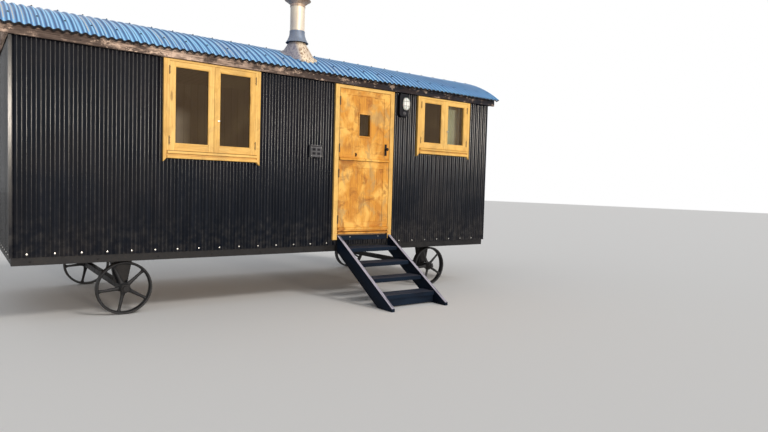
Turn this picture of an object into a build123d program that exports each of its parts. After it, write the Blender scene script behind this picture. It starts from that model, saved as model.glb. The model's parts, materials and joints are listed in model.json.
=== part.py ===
from build123d import *
from math import sqrt
import os

# Hut body
hut_length = 6110
hut_width = 2286
sheet_pitch = 76.2
sheet_depth = 18
sheet_gauge = 1
rib_foot = 0.10
rib_crest = 0.40
wall_core = 75
cladding_bottom = 630
floor_top = 775
floor_thickness = 85
seat_gap = 0.3

# Chassis and running gear
rail_bottom = 554
rail_thickness = 60
web_thickness = 8
cross_width = 120
axle_inset = 1005
wheel_diameter = 540
tread_width = 76
rim_thickness = 26
hub_radius = 54
hub_length = 116
spoke_count = 5
spoke_phase = 42
spoke_root = 40
spoke_tip = 26
spoke_depth = 26
spoke_sink = 4
wheel_inset = 62
axle_beam = 64
journal_radius = 22
journal_clearance = 0.05
collar_clearance = 0.6
washer_width = 74
washer_thickness = 8
nut_radius = 29
nut_height = 22
hanger_top_length = 220
hanger_foot_length = 120
hanger_thickness = 58
hanger_inset = 66

# Barrel roof
crest_height = 3150
roof_radius = 2100
eave_reach = 90
verge_reach = 150
deck_trim = 55
roof_sheet = 18
roof_deck = 60
fascia_height = 112
fascia_thickness = 30
fascia_reach = 45
gable_thickness = 28
gable_gap = 1
gable_lap = 60
corner_leg = 60
corner_drop = 20
corner_thickness = 3

# Doorway and stable door; along the hut it is placed from the small window
door_frame_width = 911
door_jamb = 62
door_head = 40
frame_drop = 7
door_frame_proud = 30
door_horn_drop = 75
threshold_thickness = 25
threshold_proud = 58
leaf_thickness = 44
leaf_gap = 5
latch_gap = 7
door_stop = 14
upper_leaf_height = 890
top_rail = 70
bottom_rail = 120
middle_rail = 90
door_stile = 92
panel_recess = 12
lite_inset = 291
lite_width = 165
lite_height = 275
lite_drop = 298
lite_bead = 16
pane_thickness = 6
drip_height = 34
drip_reach = 26
weather_bar_rise = 22
hinge_height = 105
hinge_clear = 4
upper_hinge_drop = 210
upper_hinge_rise = 95
lower_hinge_drop = 215
lower_hinge_rise = 100
knuckle_radius = 7
hinge_leaf = 2
hinge_leaf_depth = 32
pin_gap = 0.4

# Large and small casement windows: the small one is placed from the hut's right end
window_head = 22
small_window_inset = 394
small_window_gap = 410
large_window_gap = 997
window_proud = 30
frame_jamb = 58
frame_depth = 112
sill_height = 80
sill_board = 27
sill_groove = 22
sill_reach = 62
groove_depth = 44
sash_thickness = 42
sash_stile = 57
sash_top_rail = 48
sash_bottom_rail = 72
sash_gap = 2
horn_width = 36
horn_drop = 38
large_window = {"width": 1070, "height": 1025}
small_window = {"width": 984, "height": 783}

# Step ladder
stair_offset = 27
stair_width = 830
stringer_thickness = 42
stringer_gap = 5
stringer_drop = 205
stair_slope = 0.61
stair_reach = 1200
step_rise = 155
first_step = 145
step_depth = 225
step_thickness = 48
step_count = 4
nose_setback = 22
kick_thickness = 25
kick_setback = 20
kick_clearance = 12
ledger_drop = 20
ledger_height = 60

# Flue, left of the door's centre
flue_offset = 783
flue_from_front = 400
flue_radius = 90
flue_wall = 3
flue_height = 607
boot_radius = 186
boot_top_radius = 100
boot_height = 143
boot_depth = 125
collar_radius = 141
collar_waist = 14
collar_flare = 72
collar_height = 148
collar_hollow = 50
collar_lip = 4
collar_rise = 134
cowl_radius = 163
cowl_flare = 52
cowl_sleeve = 30
cowl_sheet = 4
cowl_gap = 50
lid_radius = 150
strap_thickness = 6
strap_width = 26

# Fittings on the front wall, placed from the door's centre and the fascia
lamp_offset = 607
lamp_width = 157
lamp_drop = 15
lamp_height = 305
lamp_depth = 55
lamp_corner = 40
lens_width = 112
lens_height = 168
lens_depth = 46
lens_drop = 133
lens_shift = 15
lens_corner = 54
socket_offset = 724
socket_width = 158
socket_drop = 783
socket_height = 147
socket_depth = 48
socket_corner = 8
handle_width = 32
handle_height = 150
handle_thickness = 9
handle_rise = 85
handle_inset = 62
knob_radius = 20
knob_thickness = 18
knob_reach = 36
knob_neck = 9
knob_rise = 84
pull_width = 20
pull_height = 46
pull_thickness = 5
pull_radius = 8
pull_reach = 18
pull_rise = 52
pull_inset = 247

# Curtain inside the small window
curtain_width = 345
curtain_height = 640
curtain_thickness = 30
curtain_gap = 40
curtain_drop = 50
curtain_inset = 60
curtain_rod_radius = 7
rod_reach = 30
bracket_inset = 20
bracket_width = 16
bracket_height = 12

# Worked out from the sizes above: the origin lies under the middle of the whole outline
front_face = (stair_reach - hut_width - eave_reach) / 2
back_face = front_face + hut_width
centre_y = front_face + hut_width / 2
left_end = -hut_length / 2
right_end = hut_length / 2
core_front = front_face + sheet_depth
core_back = back_face - sheet_depth
core_left = left_end + sheet_depth
core_right = right_end - sheet_depth
rail_top = floor_top - floor_thickness
door_centre = (
    right_end - small_window_inset - small_window["width"] - small_window_gap - door_frame_width / 2
)
small_centre = right_end - small_window_inset - small_window["width"] / 2
large_centre = door_centre - door_frame_width / 2 - large_window_gap - large_window["width"] / 2
roof_axis = crest_height - roof_radius
deck_radius = roof_radius - roof_sheet - seat_gap
ceiling_radius = deck_radius - roof_deck
wall_radius = ceiling_radius - seat_gap

os.makedirs("parts", exist_ok=True)


def along(distance):
    """Place along the hut, from a distance measured at its left end."""
    return left_end + distance


def arc_height(radius, y):
    """Height of a circle about the roof's axis above the line at y."""
    return roof_axis + sqrt(radius**2 - (y - centre_y) ** 2)


def block(x_range, y_range, z_range, mode=Mode.ADD):
    """Plain block between two corners, for the part being made."""
    middle = [sum(pair) / 2 for pair in (x_range, y_range, z_range)]
    with Locations(tuple(middle)):
        Box(
            x_range[1] - x_range[0],
            y_range[1] - y_range[0],
            z_range[1] - z_range[0],
            mode=mode,
        )


def save(builder, label):
    """Label a finished piece and write it."""
    builder.part.label = label
    export_step(builder.part, f"parts/{label}.step")


def barrel(inner_radius, outer_radius, y_low, y_high):
    """Ring segment about the roof's axis between two lines, on the sketch being made."""
    middle = (y_low + y_high) / 2
    outer = [(y, arc_height(outer_radius, y)) for y in (y_low, middle, y_high)]
    inner = [(y, arc_height(inner_radius, y)) for y in (y_high, middle, y_low)]
    with BuildLine() as outline:
        ThreePointArc(*outer)
        Line(outer[2], inner[0])
        ThreePointArc(*inner)
        Line(inner[2], outer[0])
    make_face(outline.edges())


def segment(radius, y_low, y_high, bottom):
    """Round-topped end shape from a level bottom up to the roof's circle."""
    middle = (y_low + y_high) / 2
    top = [(y, arc_height(radius, y)) for y in (y_low, middle, y_high)]
    with BuildLine() as outline:
        ThreePointArc(*top)
        Line(top[2], (y_high, bottom))
        Line((y_high, bottom), (y_low, bottom))
        Line((y_low, bottom), top[0])
    make_face(outline.edges())


def ribbed_strip(length):
    """Corrugated outline with a flat back, crests on the far side, starting at u = 0."""
    count = int(length // sheet_pitch)
    margin = (length - count * sheet_pitch) / 2
    points = [(0, 0), (0, sheet_depth)]
    for index in range(count):
        start = margin + index * sheet_pitch
        points.append((start + sheet_pitch * rib_foot, sheet_depth))
        points.append((start + sheet_pitch * rib_crest, sheet_gauge))
        points.append((start + sheet_pitch * (1 - rib_crest), sheet_gauge))
        points.append((start + sheet_pitch * (1 - rib_foot), sheet_depth))
    points += [(length, sheet_depth), (length, 0)]
    with BuildLine() as outline:
        Polyline(*points, close=True)
    make_face(outline.edges())


# Chassis: two long channel rails joined by cross members
cross_places = (0, axle_inset, hut_length / 2, hut_length - axle_inset, hut_length)
with BuildPart() as chassis_frame:
    for rail_front, open_face in ((core_front, 1), (core_back - rail_thickness, -1)):
        rail_back = rail_front + rail_thickness
        block((core_left, core_right), (rail_front, rail_back), (rail_bottom, rail_top))
        if open_face > 0:
            recess = (rail_front + web_thickness, rail_back)
        else:
            recess = (rail_front, rail_back - web_thickness)
        block(
            (core_left, core_right),
            recess,
            (rail_bottom + web_thickness, rail_top - web_thickness),
            Mode.SUBTRACT,
        )
    for place in cross_places:
        centre = min(max(along(place), core_left + cross_width / 2), core_right - cross_width / 2)
        block(
            (centre - cross_width / 2, centre + cross_width / 2),
            (core_front + web_thickness, core_back - web_thickness),
            (rail_bottom + web_thickness, rail_top),
        )
save(chassis_frame, "chassis_frame")

with BuildPart() as floor:
    block((core_left, core_right), (core_front, core_back), (rail_top, floor_top))
save(floor, "floor")

# Axles with hangers up to the chassis
wheel_radius = wheel_diameter / 2
wheel_centre_front = front_face + wheel_inset + tread_width / 2
wheel_centre_back = back_face - wheel_inset - tread_width / 2
hub_half = hub_length / 2
beam_front = wheel_centre_front + hub_half + collar_clearance
beam_back = wheel_centre_back - hub_half - collar_clearance
washer_front = wheel_centre_front - hub_half - collar_clearance
washer_back = wheel_centre_back + hub_half + collar_clearance
beam_top = wheel_radius + axle_beam / 2


with BuildPart() as axles:
    for place in (axle_inset, hut_length - axle_inset):
        centre = along(place)
        block(
            (centre - axle_beam / 2, centre + axle_beam / 2),
            (beam_front, beam_back),
            (wheel_radius - axle_beam / 2, beam_top),
        )
        for start, stop in ((washer_front, beam_front), (beam_back, washer_back)):
            with BuildSketch(Plane((centre, start, wheel_radius), z_dir=(0, 1, 0))):
                Circle(journal_radius)
            extrude(amount=stop - start)
        for start, nut_start in (
            (washer_front - washer_thickness, washer_front - washer_thickness - nut_height),
            (washer_back, washer_back + washer_thickness),
        ):
            block(
                (centre - washer_width / 2, centre + washer_width / 2),
                (start, start + washer_thickness),
                (wheel_radius - washer_width / 2, wheel_radius + washer_width / 2),
            )
            with BuildSketch(Plane((centre, nut_start, wheel_radius), x_dir=(1, 0, 0), z_dir=(0, 1, 0))):
                RegularPolygon(nut_radius, 6)
            extrude(amount=nut_height)
save(axles, "axles")

hanger_top = rail_bottom + web_thickness - seat_gap
with BuildPart() as axle_hangers:
    for place in (axle_inset, hut_length - axle_inset):
        for hanger_front in (beam_front + hanger_inset, beam_back - hanger_inset - hanger_thickness):
            outline = [
                (along(place) - hanger_top_length / 2, hanger_top),
                (along(place) + hanger_top_length / 2, hanger_top),
                (along(place) + hanger_foot_length / 2, beam_top + seat_gap),
                (along(place) - hanger_foot_length / 2, beam_top + seat_gap),
            ]
            with BuildSketch(Plane.XZ.offset(-hanger_front - hanger_thickness)):
                with BuildLine():
                    Polyline(*outline, close=True)
                make_face()
            extrude(amount=hanger_thickness)
save(axle_hangers, "axle_hangers")


def make_wheel(label, place, middle):
    """Cast wheel: flat rim and long hub, joined by flat spokes that taper towards the rim."""
    centre = Vector(along(place), middle, wheel_radius)
    rim_inner = wheel_radius - rim_thickness
    with BuildPart() as wheel:
        for width, outer, inner in (
            (tread_width, wheel_radius, rim_inner),
            (hub_length, hub_radius, journal_radius + journal_clearance),
        ):
            with BuildSketch(Plane(centre - Vector(0, width / 2, 0), z_dir=(0, 1, 0))):
                Circle(outer)
                Circle(inner, mode=Mode.SUBTRACT)
            extrude(amount=width)
        with BuildSketch(Plane(centre + Vector(0, spoke_depth / 2, 0), x_dir=(1, 0, 0), z_dir=(0, -1, 0))):
            with PolarLocations(0, spoke_count, start_angle=spoke_phase):
                Polygon(
                    (hub_radius - spoke_sink, -spoke_root / 2),
                    (rim_inner + spoke_sink, -spoke_tip / 2),
                    (rim_inner + spoke_sink, spoke_tip / 2),
                    (hub_radius - spoke_sink, spoke_root / 2),
                    align=None,
                )
        extrude(amount=spoke_depth)
    save(wheel, label)


for side, place in (("left", axle_inset), ("right", hut_length - axle_inset)):
    make_wheel(f"wheel_{side}_front", place, wheel_centre_front)
    make_wheel(f"wheel_{side}_back", place, wheel_centre_back)

# Walls: slabs that stand on the floor and reach up to the roof
inner_front = core_front + wall_core
inner_back = core_back - wall_core
inner_left = core_left + wall_core
inner_right = core_right - wall_core
door_left = door_centre - door_frame_width / 2
door_right = door_centre + door_frame_width / 2
fascia_front = front_face - fascia_reach
fascia_back = fascia_front + fascia_thickness
fascia_top = arc_height(deck_radius, fascia_front)
fascia_bottom = fascia_top - fascia_height
frame_top = fascia_bottom - frame_drop


def wall_section(face, inside):
    """Section of a long wall, its top sloped to the roof's underside."""
    with BuildLine() as outline:
        Polyline(
            (face, floor_top),
            (face, arc_height(wall_radius, face)),
            (inside, arc_height(wall_radius, inside)),
            (inside, floor_top),
            close=True,
        )
    make_face(outline.edges())


def window_box(centre, window):
    """Clear box of a window through the wall: its two sides, bottom and top."""
    half = window["width"] / 2
    return (centre - half, centre + half), (frame_top - window["height"], frame_top)


def make_front_wall(label, start, stop, centre, window):
    """Front wall slab beside the doorway with its window cut through."""
    sides, heights = window_box(centre, window)
    with BuildPart() as wall:
        with BuildSketch(Plane.YZ.offset(start)):
            wall_section(core_front, inner_front)
        extrude(amount=stop - start)
        block(sides, (core_front, inner_front), heights, Mode.SUBTRACT)
    save(wall, label)


make_front_wall("front_wall_left", inner_left, door_left, large_centre, large_window)
make_front_wall("front_wall_right", door_right, inner_right, small_centre, small_window)

with BuildPart() as front_wall_header:
    with BuildSketch(Plane.YZ.offset(door_left)):
        wall_section(core_front, inner_front)
    extrude(amount=door_right - door_left)
    block(
        (door_left, door_right),
        (core_front, inner_front),
        (floor_top, frame_top),
        Mode.SUBTRACT,
    )
save(front_wall_header, "front_wall_header")

with BuildPart() as back_wall:
    with BuildSketch(Plane.YZ.offset(inner_left)):
        wall_section(core_back, inner_back)
    extrude(amount=inner_right - inner_left)
save(back_wall, "back_wall")

for side, start in (("left", core_left), ("right", inner_right)):
    with BuildPart() as end_wall:
        with BuildSketch(Plane.YZ.offset(start)):
            segment(wall_radius, core_front, core_back, floor_top)
        extrude(amount=wall_core)
    save(end_wall, f"{side}_end_wall")

# Corrugated cladding on the walls, cut round the openings
cladding_top = arc_height(wall_radius, front_face)
horn_bottom = floor_top - door_horn_drop
door_sides = (door_left, door_right)
with BuildPart() as front_cladding:
    with BuildSketch(Plane((right_end, core_front, cladding_bottom), x_dir=(-1, 0, 0), z_dir=(0, 0, 1))):
        ribbed_strip(hut_length)
    extrude(amount=cladding_top - cladding_bottom)
    for centre, window in ((large_centre, large_window), (small_centre, small_window)):
        sides, heights = window_box(centre, window)
        block(sides, (front_face, core_front), heights, Mode.SUBTRACT)
    block(door_sides, (front_face, core_front), (horn_bottom, frame_top), Mode.SUBTRACT)
save(front_cladding, "front_cladding")

with BuildPart() as back_cladding:
    with BuildSketch(Plane((left_end, core_back, cladding_bottom), x_dir=(1, 0, 0), z_dir=(0, 0, 1))):
        ribbed_strip(hut_length)
    extrude(amount=cladding_top - cladding_bottom)
save(back_cladding, "back_cladding")

with BuildPart() as end_cladding:
    for corner, way in (
        ((core_left, core_front, cladding_bottom), (0, 1, 0)),
        ((core_right, core_back, cladding_bottom), (0, -1, 0)),
    ):
        with BuildSketch(Plane(corner, x_dir=way, z_dir=(0, 0, 1))):
            ribbed_strip(core_back - core_front)
        extrude(amount=fascia_bottom + gable_lap - cladding_bottom)
save(end_cladding, "end_cladding")

with BuildPart() as corner_trims:
    trim_top = arc_height(wall_radius, front_face) - corner_drop
    for x_side, y_side in ((-1, -1), (1, -1), (-1, 1), (1, 1)):
        corner_x = x_side * (right_end + corner_thickness)
        corner_y = centre_y + y_side * (hut_width / 2 + corner_thickness)
        long_x = sorted((corner_x, corner_x - x_side * corner_leg))
        thin_y = sorted((corner_y, corner_y - y_side * corner_thickness))
        block(long_x, thin_y, (cladding_bottom, trim_top))
        thin_x = sorted((corner_x, corner_x - x_side * corner_thickness))
        long_y = sorted((corner_y, corner_y - y_side * corner_leg))
        block(thin_x, long_y, (cladding_bottom, trim_top))
save(corner_trims, "corner_trims")

# Roof: boarded barrel, sheet over it, fascias and round-topped gable boards
roof_length = hut_length + 2 * verge_reach
flue_x = door_centre - flue_offset
flue_y = front_face + flue_from_front
with BuildPart() as roof_deck_shell:
    with BuildSketch(Plane.YZ.offset(left_end - verge_reach + deck_trim)):
        barrel(ceiling_radius, deck_radius, fascia_back + seat_gap, 2 * centre_y - fascia_back - seat_gap)
    extrude(amount=roof_length - 2 * deck_trim)
    with BuildSketch(Plane((flue_x, flue_y, roof_axis))):
        Circle(flue_radius + seat_gap)
    extrude(amount=2 * roof_radius, mode=Mode.SUBTRACT)
save(roof_deck_shell, "roof_deck")

with BuildPart() as roof_sheets:
    with BuildSketch(Plane.YZ.offset(left_end - verge_reach)):
        barrel(roof_radius - roof_sheet, roof_radius, front_face - eave_reach, back_face + eave_reach)
    extrude(amount=roof_length)
    with BuildSketch(Plane((flue_x, flue_y, roof_axis))):
        Circle(flue_radius + seat_gap)
    extrude(amount=2 * roof_radius, mode=Mode.SUBTRACT)
save(roof_sheets, "roof_sheets")

with BuildPart() as fascias:
    for low in (fascia_front, 2 * centre_y - fascia_back):
        block(
            (left_end - verge_reach + deck_trim, right_end + verge_reach - deck_trim),
            (low, low + fascia_thickness),
            (fascia_bottom, fascia_top),
        )
save(fascias, "fascias")

gable_front = fascia_back + gable_gap
with BuildPart() as gable_boards:
    for start in (left_end - corner_thickness - gable_thickness, right_end + corner_thickness):
        with BuildSketch(Plane.YZ.offset(start)):
            segment(wall_radius, gable_front, 2 * centre_y - gable_front, fascia_bottom)
        extrude(amount=gable_thickness)
save(gable_boards, "gable_boards")

# Windows: frame with a sill, two sashes and their panes
frame_front = front_face - window_proud
frame_back = frame_front + frame_depth


def make_window(label, centre, window):
    """Timber casement window: grooved sill, side trims that run below it, sashes and panes."""
    sides, heights = window_box(centre, window)
    left, right = sides[0] + seat_gap, sides[1] - seat_gap
    bottom, top = heights[0] + seat_gap, heights[1] - seat_gap
    sill_top = bottom + sill_height
    sill_sides = (left + horn_width, right - horn_width)
    inner = (left + frame_jamb, right - frame_jamb)
    with BuildPart() as frame:
        block((left, right), (frame_front, frame_back), (bottom, top))
        block(inner, (frame_front, frame_back), (sill_top, top - window_head), Mode.SUBTRACT)
        block(sill_sides, (front_face - sill_reach, frame_front), (bottom, sill_top))
        block(
            sill_sides,
            (front_face - sill_reach, front_face - sill_reach + groove_depth),
            (bottom + sill_board, bottom + sill_board + sill_groove),
            Mode.SUBTRACT,
        )
        for outer, way in ((left, 1), (right, -1)):
            with BuildSketch(Plane.XZ.offset(seat_gap - front_face)):
                with BuildLine():
                    Polyline(
                        (outer, bottom),
                        (outer + way * horn_width, bottom),
                        (outer, bottom - horn_drop),
                        close=True,
                    )
                make_face()
            extrude(amount=window_proud - seat_gap)
    save(frame, f"{label}_frame")
    middle = (inner[0] + inner[1]) / 2
    sash_bottom = sill_top + seat_gap
    sash_top = top - window_head - sash_gap
    glass_low = sash_bottom + sash_bottom_rail
    glass_high = sash_top - sash_top_rail
    sash_sides = (
        (inner[0] + seat_gap, middle - sash_gap / 2),
        (middle + sash_gap / 2, inner[1] - seat_gap),
    )
    with BuildPart() as sashes:
        for low, high in sash_sides:
            block((low, high), (frame_front, frame_front + sash_thickness), (sash_bottom, sash_top))
            block(
                (low + sash_stile, high - sash_stile),
                (frame_front, frame_front + sash_thickness),
                (glass_low, glass_high),
                Mode.SUBTRACT,
            )
    save(sashes, f"{label}_sashes")
    pane_front = frame_front + (sash_thickness - pane_thickness) / 2
    with BuildPart() as panes:
        for low, high in sash_sides:
            block(
                (low + sash_stile + seat_gap, high - sash_stile - seat_gap),
                (pane_front, pane_front + pane_thickness),
                (glass_low + seat_gap, glass_high - seat_gap),
            )
    save(panes, f"{label}_panes")


make_window("large_window", large_centre, large_window)
make_window("small_window", small_centre, small_window)

# Doorway: frame with horns beside the threshold
door_front = front_face - door_frame_proud
opening_left = door_left + door_jamb
opening_right = door_right - door_jamb
opening_top = frame_top - door_head
threshold_top = floor_top + threshold_thickness
stop_front = door_front + leaf_thickness + leaf_gap
with BuildPart() as door_frame:
    block(
        (door_left + seat_gap, door_right - seat_gap),
        (door_front, inner_front),
        (floor_top, frame_top - seat_gap),
    )
    block((opening_left, opening_right), (door_front, stop_front), (floor_top, opening_top), Mode.SUBTRACT)
    block(
        (opening_left + door_stop, opening_right - door_stop),
        (stop_front, inner_front),
        (floor_top, opening_top - door_stop),
        Mode.SUBTRACT,
    )
    for horn in ((door_left + seat_gap, opening_left), (opening_right, door_right - seat_gap)):
        block(horn, (door_front, core_front - seat_gap), (horn_bottom, floor_top))
save(door_frame, "door_frame")

with BuildPart() as door_threshold:
    block(
        (opening_left + seat_gap, opening_right - seat_gap),
        (front_face - threshold_proud, stop_front - seat_gap),
        (floor_top, threshold_top),
    )
    block(
        (opening_left + door_stop + seat_gap, opening_right - door_stop - seat_gap),
        (stop_front - seat_gap, inner_front),
        (floor_top, threshold_top),
    )
save(door_threshold, "door_threshold")

# Door leaves, each a framed panel
leaf_left = opening_left + leaf_gap
leaf_right = opening_right - latch_gap
leaf_back = door_front + leaf_thickness
leaf_top = opening_top - leaf_gap
upper_bottom = leaf_top - upper_leaf_height
lower_top = upper_bottom - leaf_gap
lower_bottom = threshold_top + leaf_gap
lite_left = leaf_left + lite_inset
lite_right = lite_left + lite_width
lite_top = leaf_top - lite_drop
lite_bottom = lite_top - lite_height


def sunk_panel(low, high):
    """Boarded panel set back from the face of the leaf's frame."""
    block(
        (leaf_left + door_stile, leaf_right - door_stile),
        (door_front, door_front + panel_recess),
        (low, high),
        Mode.SUBTRACT,
    )


with BuildPart() as upper_leaf:
    block((leaf_left, leaf_right), (door_front, leaf_back), (upper_bottom, leaf_top))
    sunk_panel(upper_bottom + middle_rail, leaf_top - top_rail)
    block(
        (lite_left - lite_bead, lite_right + lite_bead),
        (door_front, door_front + panel_recess),
        (lite_bottom - lite_bead, lite_top + lite_bead),
    )
    block((lite_left, lite_right), (door_front, leaf_back), (lite_bottom, lite_top), Mode.SUBTRACT)
    block(
        (leaf_left, leaf_right),
        (door_front - drip_reach, door_front),
        (upper_bottom, upper_bottom + drip_height),
    )
save(upper_leaf, "upper_leaf")

lite_front = door_front + (leaf_thickness - pane_thickness) / 2
with BuildPart() as upper_leaf_pane:
    block(
        (lite_left + seat_gap, lite_right - seat_gap),
        (lite_front, lite_front + pane_thickness),
        (lite_bottom + seat_gap, lite_top - seat_gap),
    )
save(upper_leaf_pane, "upper_leaf_pane")

with BuildPart() as lower_leaf:
    block((leaf_left, leaf_right), (door_front, leaf_back), (lower_bottom, lower_top))
    sunk_panel(lower_bottom + bottom_rail, lower_top - middle_rail)
    block(
        (leaf_left, leaf_right),
        (door_front - drip_reach, door_front),
        (lower_bottom + weather_bar_rise, lower_bottom + weather_bar_rise + drip_height),
    )
save(lower_leaf, "lower_leaf")

# Butt hinges: a knuckle in three lengths round the pin line, and two plates in the gap
pin_x = opening_left + leaf_gap / 2
pin_y = door_front - knuckle_radius - seat_gap
knuckle_length = hinge_height / 3
upper_hinges = (leaf_top - upper_hinge_drop, upper_bottom + upper_hinge_rise)
lower_hinges = (lower_top - lower_hinge_drop, lower_bottom + lower_hinge_rise)


def knuckle(bottom, top):
    """One length of a hinge's knuckle."""
    with Locations((pin_x, pin_y, (bottom + top) / 2)):
        Cylinder(knuckle_radius, top - bottom)


with BuildPart() as frame_hinges:
    for bottom in upper_hinges + lower_hinges:
        for start in (bottom, bottom + 2 * knuckle_length):
            knuckle(start, start + knuckle_length)
            block(
                (opening_left, opening_left + hinge_leaf),
                (pin_y, door_front + hinge_leaf_depth),
                (start, start + knuckle_length),
            )
        block(
            (opening_left, opening_left + hinge_leaf),
            (door_front + hinge_clear, door_front + hinge_leaf_depth),
            (bottom, bottom + hinge_height),
        )
save(frame_hinges, "frame_hinges")

for label, places in (("upper_leaf_hinges", upper_hinges), ("lower_leaf_hinges", lower_hinges)):
    with BuildPart() as leaf_hinges:
        for bottom in places:
            start = bottom + knuckle_length + pin_gap
            stop = bottom + 2 * knuckle_length - pin_gap
            knuckle(start, stop)
            block((leaf_left - hinge_leaf, leaf_left), (pin_y, door_front + hinge_leaf_depth), (start, stop))
    save(leaf_hinges, label)

# Turn knob on a long plate and a small pull, both on the upper leaf
handle_centre = leaf_right - handle_inset
handle_front = door_front - handle_thickness
handle_bottom = upper_bottom + handle_rise
knob_z = handle_bottom + knob_rise
pull_x = leaf_left + pull_inset
pull_front = door_front - pull_thickness
pull_bottom = upper_bottom + pull_rise


def stud(x, start, z, radius, length):
    """Round stud that stands out of the leaf's face."""
    with Locations((x, start - length / 2, z)):
        Cylinder(radius, length, rotation=(90, 0, 0))


with BuildPart() as door_handle:
    block(
        (handle_centre - handle_width / 2, handle_centre + handle_width / 2),
        (handle_front, door_front),
        (handle_bottom, handle_bottom + handle_height),
    )
    stud(handle_centre, handle_front, knob_z, knob_neck, knob_reach)
    stud(handle_centre, handle_front - knob_reach, knob_z, knob_radius, knob_thickness)
    block(
        (pull_x - pull_width / 2, pull_x + pull_width / 2),
        (pull_front, door_front),
        (pull_bottom, pull_bottom + pull_height),
    )
    stud(pull_x, pull_front, pull_bottom + pull_height / 2, pull_radius, pull_reach)
save(door_handle, "door_handle")

# Steps: two stringers cut level at the ground and plumb at the wall, four treads
stringer_top = floor_top - stringer_gap
stair_left = door_centre + stair_offset - stair_width / 2
stair_right = stair_left + stair_width
stair_back = door_front - seat_gap
stair_front = front_face - stair_reach


def edge_height(y):
    """Height of the stringer's upper edge above the ground at y."""
    return stringer_top - stair_slope * (front_face - y)


with BuildPart() as stair_stringers:
    heel = front_face - (stringer_top - stringer_drop) / stair_slope
    outline = [
        (stair_back, edge_height(stair_back)),
        (stair_front, edge_height(stair_front)),
        (stair_front, 0),
        (heel, 0),
        (stair_back, edge_height(stair_back) - stringer_drop),
    ]
    for start in (stair_left, stair_right - stringer_thickness):
        with BuildSketch(Plane.YZ.offset(start)):
            with BuildLine():
                Polyline(*outline, close=True)
            make_face()
        extrude(amount=stringer_thickness)
save(stair_stringers, "stair_stringers")

tread_left = stair_left + stringer_thickness + seat_gap
tread_right = stair_right - stringer_thickness - seat_gap
with BuildPart() as stair_treads:
    for index in range(step_count):
        top = first_step + index * step_rise
        nose = front_face - (stringer_top - top) / stair_slope + nose_setback
        block((tread_left, tread_right), (nose, nose + step_depth), (top - step_thickness, top))
save(stair_treads, "stair_treads")

kick_front = front_face - (stringer_top - first_step) / stair_slope + nose_setback + kick_setback
with BuildPart() as stair_boards:
    block(
        (tread_left, tread_right),
        (kick_front, kick_front + kick_thickness),
        (kick_clearance, first_step - step_thickness - seat_gap),
    )
    block(
        (opening_left + seat_gap, opening_right - seat_gap),
        (door_front, front_face - seat_gap),
        (floor_top - ledger_drop - ledger_height, floor_top - ledger_drop),
    )
save(stair_boards, "stair_boards")

# Flue through the front slope of the roof
boot_base = arc_height(roof_radius, flue_y)
flue_top = boot_base + flue_height
collar_bottom = boot_base + collar_rise
boot_foot = boot_radius + boot_depth * (boot_radius - boot_top_radius) / boot_height
boot_bottom = boot_base - boot_depth
lid_bottom = flue_top + cowl_flare + cowl_gap
strap_foot = flue_top + cowl_sheet * 1.5
with BuildPart() as flue_pipe:
    flue_bottom = arc_height(ceiling_radius, flue_y)
    with BuildSketch(Plane((flue_x, flue_y, flue_bottom))):
        Circle(flue_radius)
        Circle(flue_radius - flue_wall, mode=Mode.SUBTRACT)
    extrude(amount=flue_top - flue_bottom)
save(flue_pipe, "flue_pipe")

with BuildPart() as flue_boot:
    with BuildSketch(Plane((flue_x, flue_y, boot_bottom), x_dir=(1, 0, 0), z_dir=(0, -1, 0))):
        with BuildLine():
            Polyline(
                (flue_radius + seat_gap, 0),
                (boot_foot, 0),
                (boot_top_radius, boot_depth + boot_height),
                (flue_radius + seat_gap, boot_depth + boot_height),
                close=True,
            )
        make_face()
    revolve(axis=Axis((flue_x, flue_y, 0), (0, 0, 1)))
    with BuildSketch(Plane.YZ.offset(flue_x - boot_foot)):
        segment(roof_radius + seat_gap, flue_y - boot_foot, flue_y + boot_foot, boot_bottom - boot_depth)
    extrude(amount=2 * boot_foot, mode=Mode.SUBTRACT)
save(flue_boot, "flue_boot")

with BuildPart() as storm_collar:
    with BuildSketch(Plane((flue_x, flue_y, collar_bottom), x_dir=(1, 0, 0), z_dir=(0, -1, 0))):
        with BuildLine():
            Polyline(
                (collar_radius, 0),
                (flue_radius + collar_waist, collar_flare),
                (flue_radius + collar_lip, collar_height),
                (flue_radius + seat_gap, collar_height),
                (flue_radius + seat_gap, collar_hollow),
                (collar_radius - collar_lip, 0),
                close=True,
            )
        make_face()
    revolve(axis=Axis((flue_x, flue_y, 0), (0, 0, 1)))
save(storm_collar, "storm_collar")

with BuildPart() as flue_cowl:
    with BuildSketch(Plane((flue_x, flue_y, flue_top), x_dir=(1, 0, 0), z_dir=(0, -1, 0))):
        with BuildLine():
            Polyline(
                (flue_radius + seat_gap, -cowl_sleeve),
                (flue_radius + seat_gap + cowl_sheet, -cowl_sleeve),
                (flue_radius + seat_gap + cowl_sheet, 0),
                (cowl_radius, cowl_flare),
                (cowl_radius - cowl_sheet, cowl_flare),
                (flue_radius - flue_wall, cowl_sheet),
                (flue_radius - flue_wall, seat_gap),
                (flue_radius + seat_gap, seat_gap),
                close=True,
            )
        make_face()
    revolve(axis=Axis((flue_x, flue_y, 0), (0, 0, 1)))
    with BuildSketch(Plane((flue_x, flue_y, strap_foot))):
        with PolarLocations(flue_radius + strap_thickness, 4):
            Rectangle(strap_thickness, strap_width)
    extrude(amount=lid_bottom - strap_foot)
    with BuildSketch(Plane((flue_x, flue_y, lid_bottom))):
        Circle(lid_radius)
    extrude(amount=cowl_sheet)
save(flue_cowl, "flue_cowl")

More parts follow.
